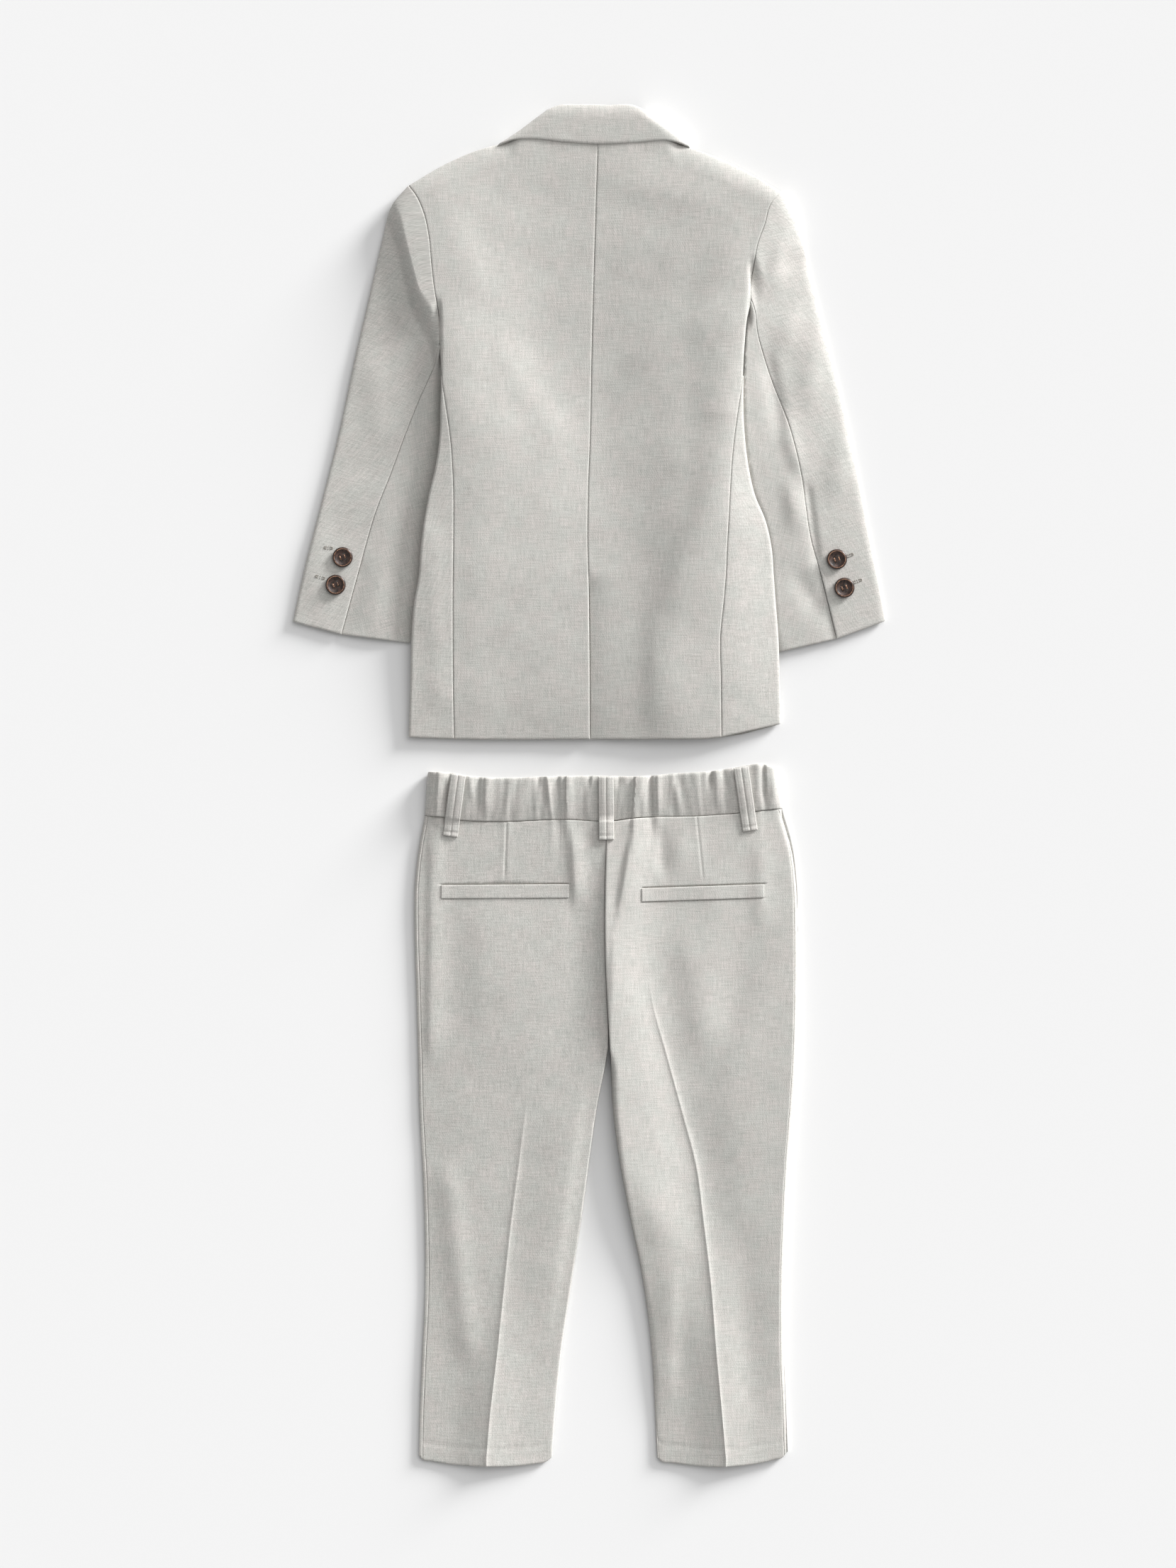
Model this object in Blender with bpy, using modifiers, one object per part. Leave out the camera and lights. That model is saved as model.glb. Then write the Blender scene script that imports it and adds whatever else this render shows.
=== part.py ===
"""A toddler's two-piece suit and bow tie, laid out flat with the back up.

The jacket lies above the trousers.  +X is to the right, +Y runs from the
hems to the collar and +Z is up; the surface it lies on is z = 0.  Tables and
sizes are in millimetres, and every panel is a sheet of points on its outer
face, thickened inwards by the cloth's wall.
"""

import math

import bmesh
import bpy
import numpy as np
from mathutils import Vector

MM = 0.001

# ---- driving sizes, in millimetres ---------------------------------------

SEAM_GAP = 0.3          # between neighbouring pieces
WIDE_GAP = 0.5          # on one side of a seam whose edges tilt
ARMHOLE_GAP = 1.0       # and of one that turns
LAY_GAP = 0.4           # between a piece and the panel it lies on

JACKET_WALL = 2.6       # cloth, canvas and lining together
SLEEVE_WALL = 2.2
COLLAR_WALL = 1.7
LAPEL_WALL = 1.7
TROUSER_WALL = 1.8
BAND_WALL = 2.6         # the back waistband, with its elastic
TRIM_WALL = 1.2
WELT_WALL = 0.9
STAND_WALL = 1.6

BODY_DEPTH = 8.8        # front to back of the jacket's body, lying flat
OVERLAP_RISE = 2.2      # more where one front laps over the other
FRONT_CLEAR = 2.5       # the fronts lie this high, on lapels and buttons
SLEEVE_TOP = 7.4        # height of a sleeve's upper side beneath the body
SLEEVE_SWELL = 0.9      # more where nothing lies on it
SLEEVE_MID = 4.0        # height of a sleeve's folded edges
OVER_SLEEVE = 8.5       # underside of the body where it lies on a sleeve
SHOULDER_MID = 8.0      # height of the shoulder line

BUTTON = 14.0           # across a sleeve button
BUTTON_DEEP = 2.4
FRONT_BUTTON = 15.0
FRONT_BUTTON_DEEP = 2.1

WAISTBAND_TOP = 8.2     # height of the back waistband's outer face
TROUSER_MID = 3.6       # height of the legs' folded edges
LOOP_WIDE = 10.6        # a belt loop


def table(names, *rows):
    """Named columns of a short table."""
    return dict(zip(names.split(), np.array(rows, float).T))


# The jacket's body, a row for each level from the armholes to the hem:
# x of the side edges and of the seams between back and side panels.
BODY = table(
    "y left left_seam right_seam right",
    (345, -102.9, -97.6, 105.6, 110.9),
    (325, -102.4, -97.2, 103.8, 109.1),
    (305, -102.0, -96.8, 102.1, 107.3),
    (283, -101.8, -96.6, 101.2, 106.4),
    (262, -102.2, -96.2, 100.8, 106.2),
    (240, -102.9, -94.6, 99.2, 107.3),
    (220, -105.8, -93.7, 98.0, 109.9),
    (200, -110.5, -93.2, 96.9, 114.6),
    (185, -113.2, -93.2, 96.1, 121.0),
    (165, -115.8, -93.3, 95.0, 125.7),
    (145, -117.3, -93.6, 94.1, 127.3),
    (125, -120.7, -93.7, 92.4, 128.8),
    (105, -122.2, -93.7, 90.4, 130.4),
    (75, -123.0, -93.6, 90.8, 131.4),
    (33, -124.4, -92.9, 91.3, 132.5))

# The centre back seam, from the neck to the hem.
CENTRE = table(
    "y x",
    (452, 6.0), (441, 5.9), (408, 4.9), (374, 3.9), (310, 2.1), (240, 0.7),
    (200, -0.7), (167, -1.0), (142, -0.3), (103, 0.2), (33, 0.5))

# The shoulder line against x; it stands high at the neck, where no
# shoulder edge rounds the cloth off.
SHOULDER = table(
    "x y",
    (-134, 408), (-124.4, 414.3), (-98, 429.7), (-72, 441.2), (-62, 442.5),
    (-54, 444.5), (-44, 462), (0, 500), (50, 462), (60, 443.5), (69, 441),
    (80, 437), (97.6, 429.6), (127, 414.5), (133, 409.7), (142, 402))

# The sleeves, a row for each section from the armhole to the cuff: the
# outer edge, the elbow seam and the inner fold beneath the body.
SLEEVE_COLUMNS = "outer_x outer_y seam_x seam_y fold_x fold_y"
SLEEVES = {
    "left": table(
        SLEEVE_COLUMNS,
        (-124.4, 414.3, -102.9, 306.0, -76.0, 292.0),
        (-142.2, 379.5, -107.5, 288.0, -68.0, 268.0),
        (-151.8, 336.5, -117.0, 267.0, -69.0, 243.0),
        (-161.8, 293.5, -127.5, 241.0, -75.0, 216.0),
        (-173.4, 240.0, -137.5, 214.0, -83.0, 190.0),
        (-184.4, 196.4, -148.0, 187.0, -93.0, 162.0),
        (-195.4, 153.5, -158.8, 149.0, -106.5, 129.5),
        (-204.2, 114.0, -170.8, 105.2, -123.7, 99.3)),
    "right": table(
        SLEEVE_COLUMNS,
        (133.0, 409.7, 111.6, 336.0, 80.0, 312.0),
        (144.0, 385.8, 114.6, 326.0, 74.0, 290.0),
        (153.0, 349.0, 116.7, 309.5, 72.0, 266.0),
        (165.9, 297.9, 125.4, 281.3, 74.0, 243.0),
        (175.5, 259.0, 138.1, 248.1, 83.0, 217.0),
        (184.5, 217.0, 146.5, 214.0, 93.0, 187.0),
        (192.5, 175.0, 152.5, 173.5, 104.0, 152.0),
        (199.0, 142.0, 160.0, 146.0, 115.0, 126.0),
        (204.2, 114.5, 170.8, 102.2, 130.8, 93.0))}

# Armhole seams from the shoulder tip down.  The back one ends on the body's
# edge; the front one is hidden beneath and ends at the underarm.
BACK_ARMHOLE = {
    "left": ((-124.4, 414.3), (-119.1, 407.2), (-113.8, 395.3), (-110.3, 379.4),
             (-108.5, 360.9), (-106.4, 342.4), (-103.6, 327.0)),
    "right": ((133.0, 409.7), (125.4, 401.9), (120.8, 387.2), (116.1, 374.0),
              (113.7, 360.9), (111.8, 349.0))}
FRONT_ARMHOLE = {
    "left": ((-124.4, 414.3), (-112.0, 402.0), (-100.0, 380.0), (-90.0, 350.0),
             (-82.5, 322.0)),
    "right": ((133.0, 409.7), (121.0, 398.0), (109.0, 376.0), (99.0, 350.0),
              (90.0, 333.0))}
UNDERARM = {"left": (-79.0, 303.0), "right": (85.0, 324.0)}
SIDE_TOP = {"left": 316.0, "right": 338.0}      # top of the side panels
BACK_SHOULDER = {            # back's shoulder and neck, drawn in under the collar
    "left": ((-98.0, 429.7), (-76.0, 439.0), (-66.0, 440.8), (-58.0, 440.8),
             (-40.0, 447.5), (-20.0, 450.0)),
    "right": ((97.6, 429.6), (80.0, 437.0), (72.5, 438.8), (64.0, 439.0),
              (47.0, 447.0), (26.0, 450.0))}
FRONT_SHOULDER = {           # the front's, beneath it
    "left": ((-98.0, 429.0), (-77.0, 436.0), (-63.0, 435.0), (-51.0, 440.0)),
    "right": ((98.0, 428.5), (82.0, 434.0), (70.0, 432.5), (57.0, 439.5))}
NECK_TOP = 450.5             # the centre back seam's upper end
CENTRE_MIDDLE = 327.0        # where its rows pass from the armhole's to the side's
UNDER_SEAM_HEM = {"left": -99.0, "right": 106.0}  # side-front seam at the hem

# Where the body's side starts to fold over and to lie on the sleeve.
EDGE_STARTS = {"left": (338.0, 316.0), "right": (368.0, 340.0)}
LIFT_STARTS = {"left": (338.0, 312.0), "right": (362.0, 336.0)}
LIFT_ENDS = (60.0, 92.0)
LIFT_REACH = (2.0, 24.0)

# y of the hem along the jacket.
HEM = table(
    "x y",
    (-125, 34.4), (-93, 33.2), (0, 33.0), (48, 33.0), (87, 33.9),
    (105, 36.4), (117, 38.3), (127.4, 41.0), (133, 43.9))

# Broad folds of the jacket's back: a soft ridge (or trough, below zero)
# along a line from one end to the other.
JACKET_FOLDS = table(
    "x0 y0 x1 y1 half height",
    (-62, 330, -34, 250, 20, -0.9),
    (-84, 290, -60, 190, 16, 0.8),
    (-40, 170, -52, 40, 20, -0.9),
    (-22, 380, -16, 290, 18, 0.7),
    (30, 200, 22, 90, 16, -0.9),
    (62, 300, 46, 210, 18, -0.8),
    (74, 190, 56, 60, 18, 1.1),
    (88, 250, 70, 330, 14, 0.7),
    (-30, 130, -20, 50, 12, 0.8))

# The trousers below the waistband, a row for each level: outer edges,
# pressed creases, inner edges (the centre seam above the crotch) and the
# height of the upper side.
TROUSERS = table(
    "y left left_crease left_in right_in right_crease right top",
    (-20, -113.2, -20.0, 12.2, 12.2, 40.0, 132.9, 7.4),
    (-45, -117.7, -20.0, 11.7, 11.7, 40.0, 139.9, 7.4),
    (-68, -120.0, -20.0, 11.2, 11.2, 40.0, 142.8, 7.3),
    (-100, -120.2, -19.5, 11.1, 11.1, 40.0, 143.8, 7.2),
    (-140, -119.0, -22.5, 12.1, 12.1, 42.0, 143.9, 7.2),
    (-186, -117.7, -39.6, 12.7, 14.5, 53.8, 142.9, 7.1),
    (-225, -116.7, -44.2, 5.7, 16.2, 64.5, 140.5, 7.0),
    (-260, -114.7, -48.5, 0.8, 20.2, 73.6, 137.7, 6.9),
    (-300, -113.2, -53.7, -4.5, 27.3, 79.0, 135.6, 6.9),
    (-345, -112.9, -58.6, -11.6, 36.9, 84.2, 134.1, 6.8),
    (-390, -114.9, -63.3, -18.6, 43.0, 87.7, 134.2, 6.8),
    (-430, -116.6, -68.0, -22.9, 45.4, 91.4, 135.8, 6.7),
    (-462, -117.2, -70.8, -25.5, 47.0, 94.2, 136.9, 6.6))
CROTCH = -186.0
OUTSEAM = 7.0           # from a leg's outer edge to the seam on top
CREASE_RISE = 1.9       # height of a pressed crease
CREASE_HALF = 13.0

# The waistband's top edge and seam against x, and the legs' hems.
BAND_TOP = table(
    "x y",
    (-111.2, 10.8), (-95, 10.0), (-84, 8.0), (-67, 6.7), (-30, 7.5), (7, 8.0),
    (32, 7.6), (63, 9.9), (82, 11.0), (101, 13.8), (119.5, 16.1), (129.7, 13.2))
BAND_SEAM = table(
    "x y",
    (-113.2, -19.6), (-100, -20.9), (-88, -22.8), (-71, -23.7), (-15, -22.4),
    (17, -23.3), (30, -21.6), (45, -20.6), (73, -20.0), (101, -18.1),
    (119.5, -16.2), (133.6, -14.8))
LEG_HEM = table(
    "x y",
    (-117.5, -458.0), (-112, -462.0), (-71, -467.6), (-28, -464.8),
    (-24, -462.0), (46.5, -461.5), (50, -464.2), (94.5, -467.6),
    (134, -458.8), (137, -455.0))

# The waistband's gathers: x at the top edge and at the seam, half width
# and height, a ridge above zero and a trough below.
GATHERS = table(
    "top seam half height",
    (-105.5, -104.5, 2.6, -1.4), (-101.5, -102.0, 2.6, 1.4),
    (-97.5, -98.5, 2.6, -1.2), (-81.5, -80.0, 3.2, 1.0),
    (-76.0, -76.0, 3.0, -1.0), (-71.0, -72.0, 3.4, 1.2),
    (-47.0, -48.0, 5.0, -0.6), (-36.0, -33.0, 4.4, -0.9),
    (-29.5, -28.0, 4.0, 1.3), (-19.5, -18.5, 3.2, -1.3),
    (-14.0, -15.0, 3.6, 1.3), (-3.5, -3.5, 2.8, -0.9),
    (0.5, 0.5, 2.4, 1.0), (21.0, 22.0, 3.6, 0.8),
    (28.0, 27.5, 3.2, -1.2), (33.5, 32.0, 3.2, 1.4),
    (43.5, 45.0, 3.4, -1.7), (48.5, 49.0, 3.2, 1.2),
    (58.0, 58.0, 4.6, -0.8), (64.0, 64.0, 4.2, 0.7),
    (74.0, 75.0, 4.6, -0.7), (79.5, 80.5, 2.8, 0.8),
    (83.5, 84.5, 2.4, -1.1), (87.5, 88.0, 2.4, 0.9),
    (92.0, 93.5, 2.8, -0.8), (117.0, 121.0, 3.0, 1.2),
    (121.0, 125.5, 2.4, -1.4))

# Folds of the trousers, as on the jacket.
TROUSER_FOLDS = table(
    "x0 y0 x1 y1 half height",
    (-22, -14, -20, -80, 8, -0.7),
    (-6, -14, -6, -100, 8, 0.7),
    (36, -14, 26, -78, 8, 0.9),
    (24, -80, 40, -125, 10, 0.9),
    (57, -25, 58, -70, 9, -0.7),
    (-99, -20, -102, -200, 8, -0.6),
    (118, -30, 122, -90, 10, 0.6),
    (70, -110, 96, -170, 14, 0.9),
    (-60, -130, -84, -210, 15, -0.8),
    (30, -215, 52, -330, 10, 0.8),
    (-20, -240, -36, -350, 9, -0.7),
    (112, -260, 108, -380, 12, -0.6),
    (-94, -330, -96, -430, 10, 0.6))

BELT_LOOPS = table(          # centre at the band's top and at the lower end
    "top_x top_y foot_x foot_y",
    (-89.9, 8.8, -95.6, -34.0),
    (11.6, 7.4, 12.0, -36.3),
    (104.5, 13.8, 111.0, -30.2))

WELTS = {                    # corners: upper left, upper right, depth
    "left": ((-101.9, -67.4), (-14.1, -66.8), 9.4),
    "right": ((36.2, -69.6), (120.6, -66.8), 9.3)}

SLEEVE_BUTTONS = {
    "left": ((-169.8, 158.4), (-174.6, 139.4)),
    "right": ((170.7, 157.0), (175.9, 137.4))}
FRONT_BUTTONS = ((3.0, 150.0), (3.0, 92.0))

# The collar: its roll at the top edge and the free edge of its fall.
COLLAR_ROLL = ((-28.5, 466.6), (-21.0, 469.3), (-6.1, 469.9), (14.0, 469.5),
               (31.3, 469.2), (38.8, 466.0))
COLLAR_FREE = ((-63.0, 442.3), (-52.0, 445.3), (-39.5, 445.8), (-18.5, 443.9),
               (5.8, 442.3), (31.2, 443.2), (56.2, 444.4), (69.9, 440.8))
COLLAR_SIDES = {
    "left": ((-28.5, 466.6), (-36.1, 460.9), (-49.8, 450.7), (-63.0, 442.3)),
    "right": ((38.8, 466.0), (46.4, 459.2), (56.2, 452.2), (69.9, 440.8))}
COLLAR_ENDS = {              # its front ends, beneath: gorge and point
    "left": ((-32.0, 418.0), (-71.0, 400.0)),
    "right": ((41.0, 418.0), (78.0, 399.0))}
COLLAR_LIFT = 2.5            # the fall's outer face above the back's
COLLAR_MID = 9.0             # height of the roll
COLLAR_UNDER = 6.0           # how far in it rounds off beneath

LAPELS = {                   # roll line, outer edge, from gorge to break
    "left": (((-32.0, 417.2), (-21.0, 330.0), (-8.0, 226.0), (-1.0, 172.0)),
             ((-66.0, 399.0), (-70.0, 384.0), (-54.0, 320.0), (-26.0, 224.0),
              (-7.0, 172.0))),
    "right": (((41.0, 417.2), (29.0, 330.0), (15.0, 226.0), (8.0, 178.0)),
              ((73.0, 398.0), (77.0, 383.0), (61.0, 320.0), (33.0, 224.0),
               (14.0, 178.0)))}
FRONT_INNER = {              # neckline, roll line and front edge of a front
    "left": ((-42.0, 428.0), (-32.5, 410.0), (-21.5, 330.0),
             (-8.0, 226.0), (6.0, 172.0), (16.0, 152.0), (16.0, 90.0),
             (14.0, 33.0)),
    "right": ((51.0, 428.0), (41.5, 410.0), (29.5, 330.0),
              (15.0, 226.0), (0.0, 172.0), (-10.0, 152.0), (-10.0, 90.0),
              (-8.0, 33.0))}

BOW_CENTRE = (3.5, 420.0)
BOW = table(                 # half-height and depth of a wing outwards
    "out half deep",
    (4.5, 6.0, 5.0), (10.0, 9.5, 5.6), (18.0, 14.0, 5.8), (25.0, 16.0, 5.2),
    (28.0, 15.5, 4.0))
BOW_WALL = 1.2
KNOT = (3.9, 7.0, 3.6)       # half its size each way
BOW_BAND_WIDE = 7.0
BOW_BAND_WALL = 1.0
BOW_BAND_LOOP = (25.0, 16.0)  # half of the loop it lies in
BOW_BAND_MIDDLE = 436.0

FABRIC = "suiting"
SATIN = "satin"
HORN = "button"


# ---- curves and grids ----------------------------------------------------

def smooth(knots, values, at):
    """A smooth curve through values at rising knots, read at some places."""
    knots = np.asarray(knots, float)
    values = np.asarray(values, float)
    slopes = np.gradient(values, knots)
    at = np.clip(at, knots[0], knots[-1])
    k = np.clip(np.searchsorted(knots, at) - 1, 0, len(knots) - 2)
    width = knots[k + 1] - knots[k]
    s = (at - knots[k]) / width
    start = (1 + 2 * s) * (1 - s) ** 2 * values[k] + s * (1 - s) ** 2 * width * slopes[k]
    end = s * s * (3 - 2 * s) * values[k + 1] + s * s * (s - 1) * width * slopes[k + 1]
    return start + end


def read(source, name, at, key="y"):
    """A column of a table at some places of its key column."""
    knots = source[key]
    values = source[name]
    if knots[0] > knots[-1]:
        knots = knots[::-1]
        values = values[::-1]
    return smooth(knots, values, at)


def outline(points, shares):
    """Points at shares of the length of a smooth line through a few points."""
    points = np.array(points, float)
    steps = np.linalg.norm(np.diff(points, axis=0), axis=1)
    knots = np.concatenate([[0.0], np.cumsum(steps)]) / steps.sum()
    return np.stack([smooth(knots, points[:, 0], shares),
                     smooth(knots, points[:, 1], shares)], axis=-1)


def straight(start, end, shares):
    """Points at shares of a straight line."""
    shares = np.asarray(shares, float)[:, None]
    return np.array(start, float) * (1 - shares) + np.array(end, float) * shares


def ease(value, start, end):
    """0 before start and 1 after end, smooth between; either may be larger."""
    s = np.clip((value - start) / (end - start), 0.0, 1.0)
    return s * s * (3 - 2 * s)


def rise(distance, reach):
    """0 at a folded edge and 1 from reach inwards: a quarter of an ellipse."""
    near = np.clip(distance / reach, 0.0, 1.0)
    return np.sqrt(1.0 - (1.0 - near) ** 2)


def shares_of(points):
    """Each point's share of the length of its line."""
    steps = np.linalg.norm(np.diff(points, axis=0), axis=1)
    return np.concatenate([[0.0], np.cumsum(steps)]) / steps.sum()


def patch(left, right, top, bottom):
    """A grid in plan between four edges: columns, rows, xy."""
    u = 0.5 * (shares_of(top) + shares_of(bottom))[:, None, None]
    v = 0.5 * (shares_of(left) + shares_of(right))[None, :, None]
    across = (1 - u) * left[None] + u * right[None]
    along = (1 - v) * top[:, None] + v * bottom[:, None]
    corners = ((1 - u) * (1 - v) * top[0] + u * (1 - v) * top[-1]
               + (1 - u) * v * bottom[0] + u * v * bottom[-1])
    return across + along - corners


def drawn_in(grid, sides, gap=SEAM_GAP / 2):
    """The grid with the named edges pulled in, by half a seam's gap or more."""
    grid = grid.copy()
    edges = {"left": (grid[0], grid[1]), "right": (grid[-1], grid[-2]),
             "top": (grid[:, 0], grid[:, 1]), "bottom": (grid[:, -1], grid[:, -2])}
    for side in sides.split():
        edge, inner = edges[side]
        inwards = inner - edge
        edge += gap * inwards / np.linalg.norm(inwards, axis=-1, keepdims=True)
    return grid


def raised(grid, heights):
    """A grid in plan with its heights added, or one height for all."""
    heights = np.broadcast_to(heights, grid.shape[:2])
    return np.concatenate([grid, heights[..., None]], axis=-1)


def in_plan(x, y):
    """A grid in plan from x and y, either of which may be a row or column."""
    return np.stack(np.broadcast_arrays(x, y), axis=-1)


def fold_heights(folds, x, y):
    """The sum of soft ridges and troughs at some places."""
    total = np.zeros(np.broadcast(x, y).shape)
    for x0, y0, x1, y1, half, height in zip(*folds.values()):
        run = math.hypot(x1 - x0, y1 - y0)
        along = ((x - x0) * (x1 - x0) + (y - y0) * (y1 - y0)) / run
        aside = ((x - x0) * (y1 - y0) - (y - y0) * (x1 - x0)) / run
        ends = ease(along, -half, half) * ease(along, run + half, run - half)
        total = total + height * ends * np.exp(-(aside / half) ** 2)
    return total


# ---- objects -------------------------------------------------------------

def material(name, colour, roughness, metallic=0.0):
    made = bpy.data.materials.new(name)
    made.use_nodes = True
    shader = made.node_tree.nodes["Principled BSDF"]
    shader.inputs["Base Color"].default_value = (*colour, 1.0)
    shader.inputs["Roughness"].default_value = roughness
    shader.inputs["Metallic"].default_value = metallic
    return made


def add_object(name, mesh, look):
    """A new object with its material, in the suit's collection."""
    mesh.materials.append(MATERIALS[look])
    made = bpy.data.objects.new(name, mesh)
    SUIT.objects.link(made)
    return made


def sheet(name, points, wall, look=FABRIC, facing=1):
    """A panel: a grid of points on its outer face, thickened inwards.

    facing is 1 where the first column's outer face looks up, -1 where it
    looks down.
    """
    columns, rows = points.shape[:2]
    bm = bmesh.new()
    bmesh.ops.create_grid(bm, x_segments=columns - 1, y_segments=rows - 1, size=0.5)
    for vert in bm.verts:
        i = round((vert.co.x + 0.5) * (columns - 1))
        j = round((vert.co.y + 0.5) * (rows - 1))
        vert.index = i * rows + j
        vert.co = Vector(points[i, j]) * MM
    bm.normal_update()
    first = [face for face in bm.faces
             if min(vert.index for vert in face.verts) < rows - 1]
    if facing * sum(face.normal.z * face.calc_area() for face in first) < 0:
        bmesh.ops.reverse_faces(bm, faces=bm.faces[:])
    mesh = bpy.data.meshes.new(name)
    bm.to_mesh(mesh)
    bm.free()
    mesh.shade_smooth()
    made = add_object(name, mesh, look)
    cloth = made.modifiers.new("cloth", "SOLIDIFY")
    cloth.thickness = wall * MM
    cloth.offset = -1.0
    return made


def turned(name, profile, place, look=HORN, steps=16):
    """A piece turned about Z from a profile of (radius, height) points."""
    mesh = bpy.data.meshes.new(name)
    bm = bmesh.new()
    verts = [bm.verts.new((r * MM, 0.0, z * MM)) for r, z in profile]
    for upper, lower in zip(verts, verts[1:]):
        bm.edges.new((upper, lower))
    bm.to_mesh(mesh)
    bm.free()
    made = add_object(name, mesh, look)
    made.location = Vector(place) * MM
    screw = made.modifiers.new("turn", "SCREW")
    screw.steps = steps
    screw.render_steps = steps
    screw.use_merge_vertices = True
    screw.merge_threshold = 0.00001
    return made


def button(name, place, across, deep):
    """A four-hole button's form: a raised rim round a shallow dish."""
    r = across / 2
    dish = deep * 0.72
    turned(name, ((0.0, dish), (r * 0.66, dish), (r * 0.76, deep), (r * 0.92, deep),
                  (r, deep * 0.7), (r * 0.9, 0.0), (0.0, 0.0)), place)


# ---- heights of the jacket ------------------------------------------------

TOP_REACH = 6.0         # how far in a folded edge rounds off, above
UNDER_REACH = 5.0       # and below
SHOULDER_REACH = 14.0


def sleeve_rows(side, name, shares):
    """Points of one of a sleeve's lines at shares of its sections."""
    source = SLEEVES[side]
    knots = np.linspace(0.0, 1.0, len(source["outer_x"]))
    return np.stack([smooth(knots, source[name + "_x"], shares),
                     smooth(knots, source[name + "_y"], shares)], axis=-1)


def inner_side(side, x, line):
    """Distance from a line into the jacket's middle, in x."""
    return x - line if side == "left" else line - x


def sleeve_x(side, name, y):
    """x of one of a sleeve's lines at a level."""
    source = SLEEVES[side]
    return read({"y": source[name + "_y"], "x": source[name + "_x"]}, "x", y)


def over_sleeve(x, y):
    """How far the body is lifted by the sleeves beneath, 0 to 1."""
    total = np.zeros(np.broadcast(x, y).shape)
    for side in SLEEVES:
        inwards = inner_side(side, x, sleeve_x(side, "fold", y))
        along = ease(y, *LIFT_STARTS[side]) * ease(y, *LIFT_ENDS)
        total = total + ease(inwards, LIFT_REACH[1], LIFT_REACH[0]) * along
    return np.clip(total, 0.0, 1.0)


def body_floor(x, y):
    """Height of the body's underside away from its edges."""
    clear = FRONT_CLEAR * ease(y, 40.0, 80.0)
    return clear + (OVER_SLEEVE - clear) * over_sleeve(x, y)


def shoulder_away(x, y):
    """Distance below the shoulder line."""
    return np.maximum(read(SHOULDER, "y", x, key="x") - y, 0.0) * 0.9


def side_away(side, x, y):
    """Distance in from the body's side edge, and how far it is an edge."""
    away = np.maximum(inner_side(side, x, read(BODY, side, y)), 0.0)
    return away, ease(y, *EDGE_STARTS[side])


def side_full(x, y, reach):
    """1 on the flat of the body and 0 at its folded side edges."""
    full = np.ones(np.broadcast(x, y).shape)
    for side in SLEEVES:
        away, folded = side_away(side, x, y)
        full = full * (1 - folded * (1 - rise(away, reach)))
    return full


def body_mid(x, y):
    """Height of the body's folded side edge."""
    return body_floor(x, y) + BODY_DEPTH * 0.48


def body_top(x, y):
    """Height of the body's upper, outer face."""
    overlap = OVERLAP_RISE * np.exp(-((x - 3.0) / 30.0) ** 2) * ease(y, 290.0, 210.0)
    high = body_floor(x, y) + BODY_DEPTH + overlap + fold_heights(JACKET_FOLDS, x, y)
    edge = SHOULDER_MID + (body_mid(x, y) - SHOULDER_MID) * ease(y, 400.0, 360.0)
    full = side_full(x, y, TOP_REACH) * rise(shoulder_away(x, y), SHOULDER_REACH)
    return edge + (high - edge) * full


def body_under(x, y):
    """Height of the body's lower, outer face; flat out to the shoulders."""
    mid = body_mid(x, y)
    return mid + (body_floor(x, y) - mid) * side_full(x, y, UNDER_REACH)


def front_under(side, x, y):
    """The front's lower face; the right front lies over the left one."""
    lap = 0.0
    if side == "right":
        step = JACKET_WALL + LAY_GAP
        lap = step * ease(x, 42.0, 25.0) * ease(y, 240.0, 196.0)
    return body_under(x, y) + lap


# ---- jacket panels ---------------------------------------------------------

ARM_SHARES = np.array((0.0, 0.02, 0.07, 0.15, 0.3, 0.47, 0.65, 0.82, 1.0))
SEAM_ROWS = 13
SIDES = ("left", "right")
SIGN = {"left": -1.0, "right": 1.0}


def body_line(side_column, y_from, y_to, rows):
    """Points down one of the body's lines between two levels."""
    y = np.linspace(y_from, y_to, rows + 1)
    return np.stack([read(BODY, side_column, y), y], axis=-1)


def hem_at(x):
    return float(read(HEM, "y", x, key="x"))


def side_seam(side):
    """The seam between back and side panel, from the armhole to the hem."""
    column = side + "_seam"
    return body_line(column, SIDE_TOP[side], hem_at(BODY[column][-1]), SEAM_ROWS)


def back_panel(side):
    """Half of the back, from the neck and shoulder to the hem."""
    seam = side_seam(side)
    armhole = outline(BACK_ARMHOLE[side] + (tuple(seam[0]),), ARM_SHARES)
    outer = np.concatenate([armhole, seam[1:]])
    levels = np.concatenate([NECK_TOP + (CENTRE_MIDDLE - NECK_TOP) * ARM_SHARES,
                             np.linspace(CENTRE_MIDDLE, 33.0, SEAM_ROWS + 1)[1:]])
    centre = np.stack([read(CENTRE, "x", levels), levels], axis=-1)
    shares = np.array((0.0, 0.07, 0.2, 0.35, 0.45, 0.53, 0.65, 0.82, 1.0))
    line = (tuple(outer[0]),) + BACK_SHOULDER[side] + (tuple(centre[0]),)
    top = outline(line, shares)
    hem_x = outer[-1][0] + (centre[-1][0] - outer[-1][0]) * shares
    hem = np.stack([hem_x, read(HEM, "y", hem_x, key="x")], axis=-1)
    grid = drawn_in(drawn_in(patch(outer, centre, top, hem), "right"), "left", WIDE_GAP)
    return raised(grid, body_top(grid[..., 0], grid[..., 1]))


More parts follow.
